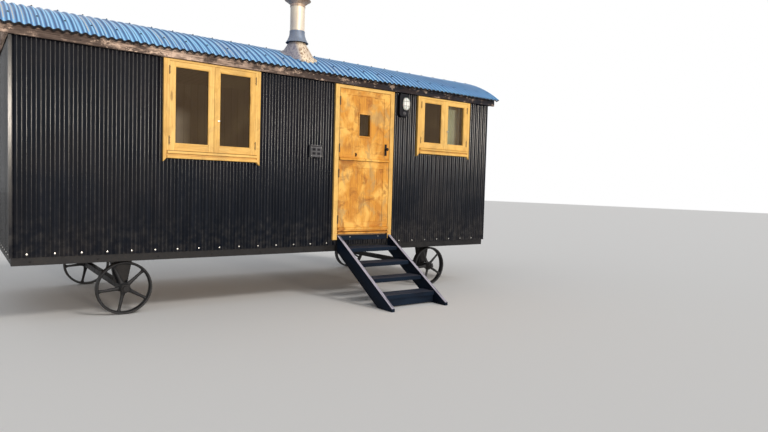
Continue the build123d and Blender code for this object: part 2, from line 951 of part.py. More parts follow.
# Fittings on the front wall
lamp_x = door_centre + lamp_offset
lamp_top = fascia_bottom - lamp_drop
with BuildPart() as lamp_body:
    block(
        (lamp_x - lamp_width / 2, lamp_x + lamp_width / 2),
        (front_face - lamp_depth, front_face - seat_gap),
        (lamp_top - lamp_height, lamp_top),
    )
    fillet(lamp_body.edges().filter_by(Axis.Y), lamp_corner)
save(lamp_body, "lamp_body")

with BuildPart() as lamp_lens:
    lens_base = front_face - lamp_depth - seat_gap
    lens_middle = (lamp_x + lens_shift, lens_base, lamp_top - lens_drop)
    with BuildSketch(Plane(lens_middle, x_dir=(1, 0, 0), z_dir=(0, -1, 0))):
        RectangleRounded(lens_width, lens_height, lens_corner)
    extrude(amount=lens_depth)
save(lamp_lens, "lamp_lens")

socket_x = door_centre - socket_offset
socket_top = fascia_bottom - socket_drop
with BuildPart() as socket_box:
    block(
        (socket_x - socket_width / 2, socket_x + socket_width / 2),
        (front_face - socket_depth, front_face - seat_gap),
        (socket_top - socket_height, socket_top),
    )
    fillet(socket_box.edges().filter_by(Axis.Y), socket_corner)
save(socket_box, "socket_box")

# Curtain on its rod inside the small window
curtain_right = small_centre + small_window["width"] / 2 - curtain_inset
curtain_front = inner_front + curtain_gap
curtain_top = frame_top - curtain_drop
with BuildPart() as curtain:
    block(
        (curtain_right - curtain_width, curtain_right),
        (curtain_front, curtain_front + curtain_thickness),
        (curtain_top - curtain_height, curtain_top),
    )
save(curtain, "curtain")

rod_half = small_window["width"] / 2 + rod_reach
rod_y = curtain_front + curtain_thickness / 2
rod_z = curtain_top + curtain_rod_radius + seat_gap
with BuildPart() as curtain_rod:
    with BuildSketch(Plane.YZ.offset(small_centre - rod_half)):
        with Locations((rod_y, rod_z)):
            Circle(curtain_rod_radius)
    extrude(amount=2 * rod_half)
    for end in (-1, 1):
        centre = small_centre + end * (rod_half - bracket_inset)
        block(
            (centre - bracket_width / 2, centre + bracket_width / 2),
            (inner_front + seat_gap, rod_y),
            (rod_z - bracket_height / 2, rod_z + bracket_height / 2),
        )
save(curtain_rod, "curtain_rod")
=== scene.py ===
import json
from math import cos, pi, radians, sin

import bmesh
import bpy
import numpy as np
from bpy.props import FloatProperty, FloatVectorProperty, IntProperty, PointerProperty
from bpy.types import Operator, Panel, PropertyGroup
from mathutils import Matrix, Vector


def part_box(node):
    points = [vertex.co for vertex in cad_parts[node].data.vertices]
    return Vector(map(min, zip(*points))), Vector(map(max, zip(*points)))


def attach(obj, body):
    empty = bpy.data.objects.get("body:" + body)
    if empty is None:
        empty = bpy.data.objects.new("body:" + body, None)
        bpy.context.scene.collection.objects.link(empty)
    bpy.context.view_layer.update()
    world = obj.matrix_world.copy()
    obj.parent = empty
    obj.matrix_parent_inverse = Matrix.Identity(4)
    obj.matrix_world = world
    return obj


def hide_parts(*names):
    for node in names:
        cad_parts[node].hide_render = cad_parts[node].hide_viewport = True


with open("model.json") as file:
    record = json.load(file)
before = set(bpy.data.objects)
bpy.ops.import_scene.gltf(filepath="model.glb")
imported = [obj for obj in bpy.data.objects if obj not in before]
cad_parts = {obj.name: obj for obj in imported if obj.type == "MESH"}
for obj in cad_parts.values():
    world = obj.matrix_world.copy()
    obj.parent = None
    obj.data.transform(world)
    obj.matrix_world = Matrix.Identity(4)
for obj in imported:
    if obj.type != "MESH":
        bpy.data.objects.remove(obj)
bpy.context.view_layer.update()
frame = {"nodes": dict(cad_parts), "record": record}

bl_info = {
    "name": "Shepherds Hut",
    "version": (1, 0, 0),
    "blender": (4, 5, 0),
    "location": "3D View > Sidebar > Shepherds Hut",
    "description": "Dresses the frame of a shepherds hut in its sheets, timber, glass and ironwork",
    "category": "Add Mesh",
}

NODES = frame["nodes"]
SLOTS = {part["node"]: part["material_slot"] for part in frame["record"]["subparts"]}
CLAD_LOW, CLAD_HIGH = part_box("front_cladding")
ROOF_LOW, ROOF_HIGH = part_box("roof_sheets")
CENTRE_Y = (ROOF_LOW.y + ROOF_HIGH.y) / 2
TO_FRONT = (0, -1, 0)
PAINTS = {}


# Shader maths
class Wire:
    """A socket of a material, on which plain sums add Math nodes."""

    def __init__(self, paint, socket):
        self.paint, self.socket = paint, socket

    def __add__(self, other):
        return self.paint.math("ADD", self, other)

    def __sub__(self, other):
        return self.paint.math("SUBTRACT", self, other)

    def __rsub__(self, other):
        return self.paint.math("SUBTRACT", other, self)

    def __mul__(self, other):
        return self.paint.math("MULTIPLY", self, other)

    __radd__, __rmul__ = __add__, __mul__

    def ramp(self, low, high, start=0.0, stop=1.0):
        """Smooth step from start to stop as the value goes from low to high."""
        settings = {"interpolation_type": "SMOOTHSTEP"}
        return self.paint.node("MapRange", settings, self, low, high, start, stop)


class Paint:
    """One material: its shader, a method that adds any node, and the patterns made of them."""

    def __init__(self, name, **constants):
        self.material = bpy.data.materials.new(name)
        self.material.use_nodes = True
        self.tree = self.material.node_tree
        self.set(**constants)
        PAINTS[name] = self

    def set(self, **sockets):
        """Feeds the shader's sockets, named in small letters, with numbers, colours or wires."""
        for name, value in sockets.items():
            self.feed(self.tree.nodes["Principled BSDF"].inputs[socket_name(name)], value)

    def feed(self, socket, value):
        if isinstance(value, Wire):
            self.tree.links.new(value.socket, socket)
        elif socket.type == "RGBA":
            socket.default_value = (*value, 1)
        else:
            socket.default_value = value

    def node(self, kind, settings=None, *values, output=0, **named):
        """Any node: its settings first, then its sockets by place or by name."""
        node = self.tree.nodes.new("ShaderNode" + kind)
        for key, value in (settings or {}).items():
            setattr(node, key, value)
        for index, value in enumerate(values):
            self.feed(node.inputs[index], value)
        for name, value in named.items():
            self.feed(node.inputs[socket_name(name)], value)
        return Wire(self, node.outputs[output])

    def math(self, operation, *values):
        return self.node("Math", {"operation": operation}, *values)

    def place(self, source="Object", stretch=(1, 1, 1)):
        """Object coordinates, or the named attribute, stretched along its axes."""
        if source == "Object":
            base = self.node("TexCoord", output="Object")
        else:
            base = self.node("Attribute", {"attribute_name": source}, output="Vector")
        return self.node("Mapping", None, base, scale=stretch)

    def axis(self, letter, source="Object"):
        """One coordinate of the place."""
        return self.node("SeparateXYZ", None, self.place(source), output=letter)

    def value(self, name):
        """A number stored on the mesh, nought where it isn't there."""
        return self.node("Attribute", {"attribute_name": name}, output="Fac")

    def noise(self, scale, source="Object", stretch=(1, 1, 1), **settings):
        settings = {"detail": 4.0, "roughness": 0.55, **settings}
        return self.node("TexNoise", None, vector=self.place(source, stretch), scale=scale, **settings)

    def mix(self, share, a, b):
        """Two colours mixed by a share from 0 to 1."""
        node = self.node("Mix", {"data_type": "RGBA"}, share).socket.node
        self.feed(node.inputs[6], a)
        self.feed(node.inputs[7], b)
        return Wire(self, node.outputs[2])

    def bump(self, height, distance, strength=1.0):
        self.set(normal=self.node("Bump", None, strength=strength, distance=distance, height=height))


def socket_name(name):
    """base_color gives Base Color, and ior stays IOR."""
    return name.replace("_", " ").title().replace("Ior", "IOR")


# Meshes
def grid_faces(rows, columns, closed_rows=False, closed_columns=False):
    """Four-cornered faces between neighbouring points of a grid stored row by row."""
    row = np.arange(rows if closed_rows else rows - 1)[:, None] * columns
    column = np.arange(columns if closed_columns else columns - 1)[None, :]
    below, right = (row + columns) % (rows * columns), (column + 1) % columns
    corners = np.broadcast_arrays(row + column, row + right, below + right, below + column)
    return np.stack(corners, -1).reshape(-1, 4)


def fill(name, points, faces):
    """A mesh from whole arrays of points and of faces with a like count of corners."""
    mesh = bpy.data.meshes.new(name)
    points, faces = np.asarray(points, np.float32), np.asarray(faces, np.int32)
    mesh.vertices.add(len(points))
    mesh.vertices.foreach_set("co", points.ravel())
    mesh.loops.add(faces.size)
    mesh.loops.foreach_set("vertex_index", faces.ravel())
    mesh.polygons.add(len(faces))
    mesh.polygons.foreach_set("loop_start", np.arange(0, faces.size, faces.shape[1], dtype=np.int32))
    mesh.update(calc_edges=True)
    return mesh


def mark(mesh, name, values, kind="FLOAT", domain="POINT"):
    """Stores numbers or vectors on a mesh's points or faces."""
    layer = mesh.attributes.new(name, kind, domain)
    values = np.asarray(values, np.float32).ravel()
    layer.data.foreach_set("value" if kind == "FLOAT" else "vector", values)
    return mesh


def closed(mesh, turn=False):
    """The mesh with its seams and poles merged, and its faces turned outwards where that is asked."""
    work = bmesh.new()
    work.from_mesh(mesh)
    bmesh.ops.remove_doubles(work, verts=work.verts, dist=1e-5)
    bmesh.ops.dissolve_degenerate(work, edges=work.edges, dist=1e-6)
    if turn:
        bmesh.ops.recalc_face_normals(work, faces=work.faces)
    work.to_mesh(mesh)
    work.free()
    return mesh


def piece(name, mesh, paint, slot=None, body="hut", replaces=(), bevel=0.0, thickness=0.0, smooth=35.0):
    """Finishes a piece: shades it, gives it a paint and lets it ride on its body."""
    mesh.polygons.foreach_set("use_smooth", np.ones(len(mesh.polygons), bool))
    mesh.set_sharp_from_angle(angle=radians(smooth))
    mesh.materials.append(PAINTS[paint].material)
    thing = bpy.data.objects.new(name, mesh)
    bpy.context.scene.collection.objects.link(thing)
    if thickness:
        wall = thing.modifiers.new("wall", "SOLIDIFY")
        wall.thickness, wall.offset = thickness, -1
    if bevel:
        edge = thing.modifiers.new("edge", "BEVEL")
        edge.width, edge.segments, edge.limit_method = bevel, 2, "ANGLE"
        edge.harden_normals = True
    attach(thing, body)
    if replaces:
        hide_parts(*replaces)
    return thing


def turned(name, shape, paint, slot=None, body="hut", **options):
    """A piece from points and faces, merged at seams and poles, with its faces turned outwards."""
    return piece(name, closed(fill(name, *shape), True), paint, slot, body, **options)


def joined(parts):
    """Points and faces of several shapes as one."""
    starts = np.cumsum([0] + [len(points) for points, _ in parts[:-1]])
    faces = [faces + start for (_, faces), start in zip(parts, starts)]
    return np.concatenate([points for points, _ in parts]), np.concatenate(faces)


def facing(axis, shape, centre):
    """Points of a shape that was worked out about +Z, with +Z turned to the named axis."""
    order = {"Z": (0, 1, 2), "Y": (0, 2, 1), "X": (2, 0, 1)}[axis]
    shape = np.broadcast_arrays(*(shape[k] for k in order))
    return np.stack(shape, -1).reshape(-1, 3) + np.asarray(centre, float)


def lathe(profile, centre=(0, 0, 0), turns=48, axis="Z"):
    """Surface of revolution: radius r at distance h along the axis, turned through the whole circle.

    profile is a list of (r, h); the point at angle a is centre + r cos a, r sin a, h."""
    profile = np.asarray(profile, float)
    angle = np.linspace(0, 2 * pi, turns, endpoint=False)
    radius, reach = profile[:, :1], profile[:, 1:]
    points = facing(axis, (radius * np.cos(angle), radius * np.sin(angle), reach), centre)
    return points, grid_faces(len(profile), turns, closed_columns=True)


def ring(centre, radius, thickness, axis="Z", turns=32, sides=10):
    """Round wire bent to a circle: radius plus thickness cos b across, thickness sin b along the axis."""
    turn = np.linspace(0, 2 * pi, turns, endpoint=False)[:, None]
    side = np.linspace(0, 2 * pi, sides, endpoint=False)[None, :]
    across = radius + thickness * np.cos(side)
    points = facing(axis, (across * np.cos(turn), across * np.sin(turn), thickness * np.sin(side)), centre)
    return points, grid_faces(turns, sides, True, True)


def rod(path, radius, sides=12):
    """Round rod along a path: a circle of the radius square to the path's direction at each point."""
    path = np.asarray(path, float)
    ahead = np.gradient(path, axis=0)
    ahead /= np.linalg.norm(ahead, axis=1, keepdims=True)
    helper = np.where(np.abs(ahead[:, 2:]) > 0.9, [[1.0, 0, 0]], [[0, 0, 1.0]])
    side = np.cross(helper, ahead)
    side /= np.linalg.norm(side, axis=1, keepdims=True)
    up = np.cross(ahead, side)
    angle = np.linspace(0, 2 * pi, sides, endpoint=False)[None, :, None]
    tube = path[:, None] + radius * (np.cos(angle) * side[:, None] + np.sin(angle) * up[:, None])
    start, stop = path[None, :1].repeat(sides, 1), path[None, -1:].repeat(sides, 1)
    points = np.concatenate([start, tube, stop]).reshape(-1, 3)
    return points, grid_faces(len(path) + 2, sides, closed_columns=True)


def copies(shape, places):
    """The shape, made about +Z at nought, set at each (point, direction) of the places."""
    points, faces = shape
    parts = []
    for place, direction in places:
        ahead = np.asarray(direction, float) / np.linalg.norm(direction)
        helper = np.array([1.0, 0, 0]) if abs(ahead[0]) < 0.9 else np.array([0, 1.0, 0])
        side = np.cross(helper, ahead)
        side /= np.linalg.norm(side)
        turn = np.stack([side, np.cross(ahead, side), ahead])
        parts.append((points @ turn + np.asarray(place, float), faces))
    return joined(parts)


def screws(name, places, radius, rise, paint, slot=None, body="hut"):
    """Domed heads on washers at the places: radius over height, closed at both poles."""
    steps = [(0, 1.0), (0.30, 0.95), (0.50, 0.72), (0.56, 0.40), (0.60, 0.30), (0.94, 0.24), (1.0, 0.0),
             (0, -0.2)]
    head = lathe([(radius * r, rise * h) for r, h in steps], turns=12)
    turned(name, copies(head, places), paint, slot, body)


def boarded(name, members, seed, paint, slot=None, **options):
    """Boards as one piece: each a block between two corners, with its own lengthwise grain.

    members is a list of (low corner, high corner, axis of the grain), and where corners are cut, a
    fourth entry of {corner number: its shift}. The grain attribute holds each point's place in its
    board, lengthwise first, moved by a random step so that no two boards match."""
    cube = np.array([[x, y, z] for x in (0, 1) for y in (0, 1) for z in (0, 1)], float)
    sides = np.array([[0, 1, 3, 2], [4, 6, 7, 5], [0, 4, 5, 1], [2, 3, 7, 6], [0, 2, 6, 4], [1, 5, 7, 3]])
    lows = np.array([member[0] for member in members], float)
    highs = np.array([member[1] for member in members], float)
    points = lows[:, None] + cube * (highs - lows)[:, None]
    for index, member in enumerate(members):
        for corner, shift in (member[3] if len(member) > 3 else {}).items():
            points[index, corner] += shift
    order = np.array([{"X": (0, 1, 2), "Y": (1, 0, 2), "Z": (2, 0, 1)}[member[2]] for member in members])
    grain = np.take_along_axis(points, order[:, None].repeat(8, 1), 2)
    grain += np.random.default_rng(seed).uniform(0, 40, (len(members), 1, 3))
    faces = sides + 8 * np.arange(len(members))[:, None, None]
    mesh = fill(name, points.reshape(-1, 3), faces.reshape(-1, 4))
    return piece(name, mark(mesh, "grain", grain, "FLOAT_VECTOR"), paint, slot, **options)


def framing(outer, inner, front, back):
    """Four boards between two rectangles of (left, right, bottom, top): stiles run through, rails lie
    between them."""
    (low_x, high_x, low_z, high_z), (left, right, floor, head) = outer, inner
    return [
        ((low_x, front, low_z), (left, back, high_z), "Z"),
        ((right, front, low_z), (high_x, back, high_z), "Z"),
        ((left, front, low_z), (right, back, floor), "X"),
        ((left, front, head), (right, back, high_z), "X"),
    ]


def eased(name, bevel, body="hut", lengthwise=None):
    """Copy of a frame node with its loose triangles merged into flat faces and its edges eased.

    Where the lengthwise direction is given, the grain runs along it, and what faces up is marked worn."""
    work = bmesh.new()
    work.from_mesh(NODES[name].data)
    bmesh.ops.remove_doubles(work, verts=work.verts, dist=1e-5)
    bmesh.ops.dissolve_limit(work, angle_limit=radians(1), verts=work.verts, edges=work.edges)
    mesh = bpy.data.meshes.new(name + "_eased")
    work.to_mesh(mesh)
    work.free()
    if lengthwise:
        ahead = np.array(lengthwise, float) / np.linalg.norm(lengthwise)
        side = np.array([1.0, 0, 0]) if abs(ahead[0]) < 0.9 else np.array([0, 1.0, 0])
        turn = np.stack([ahead, side, np.cross(ahead, side)])
        points = np.array([vertex.co for vertex in mesh.vertices])
        mark(mesh, "grain", points @ turn.T, "FLOAT_VECTOR")
        up = np.array([polygon.normal.z for polygon in mesh.polygons])
        mark(mesh, "worn", np.where(up > 0.95, 0.10, (up > 0.3) * 1.0), domain="FACE")
    mesh.materials.clear()
    piece(mesh.name, mesh, SLOTS[name], None, body, (name,), bevel)


# Corrugated sheets
def wave_height(look, distance):
    """Corrugation: half the depth times the cosine of the distance in pitches from a crest."""
    return look.wave / 2 * np.cos(2 * pi * distance / look.pitch)


def roof_height(look, x, y, lift=0.0):
    """Height of the corrugated roof: its circle about the axis, raised by the wave at x and the lift."""
    radius = look.roof_radius - look.wave / 2 - look.roof_ease + wave_height(look, x - ROOF_LOW.x) + lift
    return ROOF_HIGH.z - look.roof_radius + np.sqrt(radius**2 - (y - CENTRE_Y) ** 2)


def rimmed(edges, places=()):
    """Places between the outermost edges, each edge with a close neighbour on either side.

    The neighbours keep the shading of the long faces straight, away from the rims."""
    edges = np.asarray(edges, float)
    near = np.concatenate([edges - 0.002, edges, edges + 0.002, places])
    return np.unique(np.round(near[(near >= edges.min()) & (near <= edges.max())], 6))


def holed_grid(along, heights, holes, place):
    """A grid of two parameters, less the faces whose middle lies in a hole; place(u, v) gives its points."""
    u, v = np.meshgrid(along, heights)
    faces = grid_faces(len(heights), len(along))
    middle_u, middle_v = u.ravel()[faces].mean(1), v.ravel()[faces].mean(1)
    keep = np.ones(len(faces), bool)
    for (low_u, high_u), (low_v, high_v) in holes:
        keep &= ~((middle_u > low_u) & (middle_u < high_u) & (middle_v > low_v) & (middle_v < high_v))
    return place(u, v).reshape(-1, 3), faces[keep]


def lapped(look, name, ends, first, crest, levels, holes, place, paint, replaces):
    """Sheets lapped side by side between two ends, cut round the holes.

    place(u, v, share) gives the points, with the share of its own sheet that lies before u. Columns
    stand twelve to a corrugation, and at the sheet's and the holes' edges. The trough attribute is
    0 on a crest and 1 in a trough."""
    width, lap, columns = look.sheet_pitches * look.pitch, look.pitch * 0.75, 12
    cuts = [edge for sides, _ in holes for edge in sides]
    parts, troughs = [], []
    for left in np.arange(first, ends[1], width):
        start, stop = max(left, ends[0]), min(left + width + lap, ends[1])
        count = max(int(round((stop - start) / look.pitch * columns)) + 1, 2)
        edges = [start, stop, *(cut for cut in cuts if start < cut < stop)]
        across = rimmed(edges, np.linspace(start, stop, count))
        if len(across) >= 4:
            parts.append(holed_grid(across, levels, holes, lambda u, v: place(u, v, (u - left) / width)))
            troughs.append(np.tile(0.5 - wave_height(look, across - crest) / look.wave, len(levels)))
    mesh = mark(fill(name, *joined(parts)), "trough", np.concatenate(troughs))
    piece(name, closed(mesh), paint, replaces=replaces, thickness=look.gauge)


# Finishes
def black_sheet():
    """Satin black paint on corrugated steel: dust low down and in the troughs, chalky streaks."""
    paint = Paint("black_sheet", specular_ior_level=0.13)
    streak = paint.noise(3.0, stretch=(9, 9, 0.5), detail=5).ramp(0.35, 0.75)
    cloud = paint.noise(0.9, distortion=0.6).ramp(0.42, 0.66)
    grime = paint.noise(14, detail=6).ramp(0.35, 0.75)
    dust = (paint.axis("Z").ramp(1.15, 0.62) * 0.7 + 0.5 * paint.value("trough") * streak) * grime
    black = paint.mix(streak * 0.6, (0.0025, 0.004, 0.008), (0.007, 0.010, 0.018))
    black = paint.mix(cloud * 0.25, black, (0.020, 0.016, 0.016))
    paint.set(base_color=paint.mix(dust * 0.25, black, (0.070, 0.062, 0.052)))
    paint.set(roughness=0.14 + 0.07 * cloud + 0.22 * dust)
    paint.bump(paint.noise(45, detail=2), 0.0006, 0.3)


def roof_blue():
    """Sky-blue coated steel with run marks down the slope, painted highlights on crests and in gutters, and
    painted shade on the flanks.
    """
    paint = Paint("roof_blue", metallic=0.1, ior=1.45)
    cloud = paint.noise(2.2, detail=6).ramp(0.3, 0.75)
    runs = paint.noise(30, stretch=(1, 0.06, 0.06), detail=5).ramp(0.35, 0.72)
    trough = paint.value("trough")
    blue = paint.mix(cloud, (0.105, 0.32, 0.68), (0.18, 0.49, 0.86))
    # Painted shade: the flanks of each corrugation are darkened towards navy.
    flank_shade = trough.ramp(0.07, 0.24) * trough.ramp(0.84, 0.60)
    blue = paint.mix(flank_shade * (0.80 + 0.20 * runs), blue, (0.020, 0.080, 0.24))
    # Painted highlights: pale lines along the crests and in the gutters.
    pale = trough.ramp(0.07, 0.005) + trough.ramp(0.90, 0.99)
    paint.set(base_color=paint.mix(pale * (0.55 + 0.4 * runs), blue, (0.46, 0.80, 1.0)))
    paint.set(roughness=0.30 + 0.2 * cloud + 0.15 * runs)
    paint.bump(runs, 0.0004, 0.3)


def wood(name, dark, light, grey=None, weather=0.0, rough=0.55, dapples_and_blotches=0.0, pale=None, shine=0.4):
    """Sawn wood with long grain, growth rings, knots and, where asked, painted sun and shade dapples with
    grey blotches, weathering or wear.

    The grain runs along the first axis of the grain attribute."""
    paint = Paint(name, specular_ior_level=shine)
    board = paint.noise(0.35, "grain", (0.02, 1, 1), detail=1).ramp(0.38, 0.62)
    fibre = paint.noise(95, "grain", (0.035, 1, 1), detail=5, roughness=0.62)
    rings = paint.noise(17, "grain", (0.07, 1, 1), detail=3, distortion=0.5)
    rings = paint.math("FRACT", rings * 7).ramp(0.0, 1.0)
    spots = paint.node("TexVoronoi", None, vector=paint.place("grain", (0.55, 2.2, 2.2)), scale=3.1)
    colour = paint.mix(0.25 * board + 0.42 * fibre + 0.33 * rings, dark, light)
    if dapples_and_blotches:
        # Painted light: bright orange patches of painted sunlight and darker patches of painted shade, with
        # grey weathered blotches.
        sun_dapple = paint.noise(3.6, stretch=(1.2, 1, 0.9), detail=5, distortion=0.7).ramp(0.44, 0.66)
        cloud = paint.noise(4.6, detail=7, roughness=0.65, distortion=1.2).ramp(0.48, 0.68)
        silver = paint.noise(2.7, stretch=(1.5, 1, 0.8), detail=7, roughness=0.65, distortion=0.8)
        colour = paint.mix(sun_dapple * dapples_and_blotches, colour, (0.92, 0.55, 0.13))
        colour = paint.mix(cloud * dapples_and_blotches * 0.9, colour, tuple(0.62 * d for d in dark))
        colour = paint.mix(silver.ramp(0.52, 0.64) * dapples_and_blotches * 0.9, colour, (0.42, 0.27, 0.10))
    colour = paint.mix(spots.ramp(0.055, 0.12, 1, 0) * 0.6, colour, tuple(0.35 * d for d in dark))
    if weather:
        patch = paint.noise(2.6, "grain", (0.35, 1.5, 1.5), detail=7, roughness=0.65).ramp(0.35, 0.68)
        colour = paint.mix(patch * weather, colour, grey)
    if pale:
        scuff = paint.noise(22, "grain", (0.15, 1, 1), detail=7, roughness=0.7).ramp(0.30, 0.55)
        colour = paint.mix(paint.value("worn") * scuff, colour, pale)
    paint.set(base_color=colour, roughness=rough + 0.2 * fibre)
    paint.bump(fibre * 0.7 + rings * 0.3, 0.0012 + 0.002 * weather, 0.45)


def fascia_timber():
    """Rough-sawn board, brown-beige, with painted shade that darkens it to near black towards the right,
    painted shadow patches and patches of painted sunlight.
    """
    paint = Paint("fascia_timber", specular_ior_level=0.08)
    # Painted shade, near black towards the right end of the board.
    right = paint.axis("X").ramp(-1.4, 1.2)
    fibre = paint.noise(70, "grain", (0.05, 1, 1), detail=6, roughness=0.7)
    saw = paint.noise(60, "grain", (1.6, 0.1, 0.1), detail=3).ramp(0.4, 0.7)
    # Dark patches of painted shadow.
    patch = paint.noise(3.4, "grain", (0.7, 1.6, 1.6), detail=7, roughness=0.72).ramp(0.47, 0.56)
    # Pale patches of painted sunlight, fewer towards the right.
    sunlight_patch = paint.noise(4.3, "grain", (1.0, 1.8, 1.8), detail=8, roughness=0.76).ramp(0.54, 0.60)
    brown = paint.mix(fibre.ramp(0.3, 0.7), (0.12, 0.080, 0.060), (0.74, 0.55, 0.44))
    grey = paint.mix(fibre.ramp(0.3, 0.7), (0.003, 0.005, 0.011), (0.018, 0.024, 0.036))
    colour = paint.mix(patch * 0.8, paint.mix(right * 0.97, brown, grey), (0.035, 0.026, 0.026))
    paint.set(base_color=paint.mix(sunlight_patch * (0.8 - 0.4 * right), colour, (0.80, 0.60, 0.47)))
    paint.set(roughness=0.7 + 0.15 * fibre)
    paint.bump(fibre * 0.6 + saw * 0.4, 0.003, 0.6)


def metal(name, colour, metallic, rough, wear=(0.3, 0.28, 0.26), worn=0.15, bumps=0.0004, scale=30):
    """Painted or bare metal with a mottled tone, small dents and worn or dusty spots."""
    paint = Paint(name, metallic=metallic, specular_ior_level=0.2)
    cloud = paint.noise(scale * 0.3, detail=5).ramp(0.3, 0.7)
    speck = paint.noise(scale * 3, detail=6, roughness=0.7).ramp(0.55, 0.8)
    mottled = paint.mix(cloud, tuple(0.6 * c for c in colour), colour)
    paint.set(base_color=paint.mix(speck * worn, mottled, wear), roughness=rough + 0.15 * cloud)
    paint.bump(paint.noise(scale * 2), bumps, 0.5)


def flue_metal(name, light, dark, streaks, colour, sky_reflection=0.35):
    """Weathered sheet steel, with streaks of the colour that run down it, and a painted reflection of the
    sky that makes its left side cooler.
    """
    paint = Paint(name, metallic=0.35)
    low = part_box("flue_pipe")[0]
    # Painted reflection: blue-grey sky on the left side of the flue.
    left = paint.axis("X").ramp(low.x + 0.055, low.x)
    cloud = paint.noise(5, detail=5).ramp(0.3, 0.7)
    run = paint.noise(55, stretch=(1, 1, 0.05), roughness=0.6).ramp(0.50, 0.60)
    fine = paint.noise(140, stretch=(1, 1, 0.1), detail=3)
    steel = paint.mix(run * streaks, paint.mix(cloud, dark, light), colour)
    paint.set(base_color=paint.mix(left * sky_reflection, steel, (0.16, 0.18, 0.27)))
    paint.set(roughness=0.42 + 0.12 * fine + 0.3 * streaks * run)
    paint.bump(cloud + 0.4 * fine, 0.0010, 0.4)


def window_glass():
    """Window glass, clear with a dark brown tint that is painted shade for the dim inside, a faint film of
    dust and slow ripples.
    """
    paint = Paint("window_glass", ior=1.5, alpha=0.30)
    film = paint.noise(6, detail=6).ramp(0.4, 0.8)
    # Painted shade: the dark brown tint stands in for the dim inside seen through the glass.
    paint.set(base_color=paint.mix(film * 0.3, (0.075, 0.040, 0.010), (0.22, 0.16, 0.070)))
    paint.set(roughness=0.02 + 0.05 * film)
    paint.bump(paint.noise(2.5, detail=1), 0.004, 0.25)


def lamp_glass():
    """Milky ribbed lens: fine upright prisms and a little dust."""
    paint = Paint("lamp_glass", subsurface_weight=0.15, coat_weight=0.5)
    dust = paint.noise(40, detail=5).ramp(0.4, 0.7)
    paint.set(base_color=paint.mix(dust * 0.4, (0.88, 0.90, 0.86), (0.62, 0.63, 0.58)))
    paint.set(roughness=0.18 + 0.2 * dust)
    paint.bump(paint.math("SINE", paint.axis("X") * 900), 0.0012, 0.5)


def curtain_cloth():
    """Pale linen: a fine weave, slubs, and a greener tone at its left half."""
    paint = Paint("curtain_cloth", roughness=0.9, sheen_weight=0.2)
    across = paint.axis("X", "weave")
    weave = paint.math("SINE", across * 2400) + paint.math("SINE", paint.axis("Y", "weave") * 2400)
    slub = paint.noise(60, "weave", (1, 0.1, 1)).ramp(0.45, 0.7)
    base = paint.mix(across.ramp(0.42, 0.20), (0.95, 0.97, 0.93), (0.86, 0.97, 0.66))
    paint.set(base_color=paint.mix(slub * 0.25, base, (0.94, 0.95, 0.90)))
    paint.bump(weave * 0.5, 0.0003, 0.4)


def wall_lining():
    """Painted boards with a beaded joint every tenth of a metre."""
    paint = Paint("wall_lining")
    place = paint.math("FRACT", (paint.axis("X") + paint.axis("Y")) * 10)
    joint = paint.math("ABSOLUTE", place - 0.5).ramp(0.455, 0.49)
    tone = paint.noise(24, stretch=(1, 1, 0.05), detail=5)
    cream = paint.mix(tone, (0.55, 0.50, 0.41), (0.70, 0.66, 0.57))
    paint.set(base_color=paint.mix(joint * 0.6, cream, (0.20, 0.17, 0.13)), roughness=0.45 + 0.15 * tone)
    paint.bump(1 - joint + 0.1 * tone, 0.003, 0.5)


def make_paints(look):
    """Every finish, filed by its name in PAINTS."""
    for finish in (black_sheet, roof_blue, fascia_timber, window_glass, lamp_glass, curtain_cloth,
                   wall_lining):
        finish()
    wood("stained_timber", tuple(look.timber_dark), tuple(look.timber_light), rough=0.42, dapples_and_blotches=0.75)
    wood("frame_timber", (0.52, 0.26, 0.038), (0.90, 0.60, 0.19), rough=0.42, dapples_and_blotches=0.3)
    wood("floor_boards", (0.22, 0.13, 0.06), (0.42, 0.27, 0.14))
    wood("stair_paint", (0.002, 0.003, 0.006), (0.005, 0.009, 0.019), (0.012, 0.030, 0.062), 0.45,
         pale=(0.42, 0.41, 0.50), rough=0.45, shine=0.08)
    metal("chassis_black", (0.016, 0.016, 0.018), 0.2, 0.45, (0.13, 0.08, 0.05), 0.45)
    metal("cast_wheel", (0.026, 0.027, 0.030), 0.3, 0.45, (0.16, 0.09, 0.05), 0.35, 0.0012, 60)
    metal("hinge_metal", (0.13, 0.09, 0.06), 0.8, 0.38)
    metal("black_iron", (0.006, 0.006, 0.010), 0.1, 0.36)
    metal("screw_steel", (0.80, 0.78, 0.74), 0.9, 0.25)
    metal("grey_plastic", (0.11, 0.11, 0.12), 0.0, 0.5, (0.24, 0.23, 0.22), 0.25)
    flue_metal("flue_steel", (0.88, 0.78, 0.60), (0.72, 0.63, 0.54), 0.3, (0.60, 0.46, 0.32))
    # The collar's blue-grey tones are a painted reflection of the sky.
    flue_metal("collar_steel", (0.24, 0.29, 0.37), (0.15, 0.19, 0.27), 0.3, (0.30, 0.28, 0.28))
    flue_metal("boot_steel", (0.86, 0.74, 0.56), (0.66, 0.54, 0.42), 0.9, (0.24, 0.13, 0.07), 0.8)
    flue_metal("cowl_steel", (0.58, 0.44, 0.33), (0.26, 0.17, 0.12), 0.6, (0.26, 0.12, 0.055))


# Settings
def size(name, description, default):
    """A length that the panel offers."""
    return FloatProperty(name=name, description=description, default=default, unit="LENGTH")


def number(name, description, default):
    """A count of like things that the panel offers."""
    return IntProperty(name=name, description=description, default=default, min=1)


def heading(name, description, degrees):
    """An angle that the panel offers."""
    return FloatProperty(name=name, description=description, default=radians(degrees), unit="ROTATION")


def stain(name, description, default):
    """A colour that the panel offers."""
    return FloatVectorProperty(name=name, description=description, default=default, subtype="COLOR")


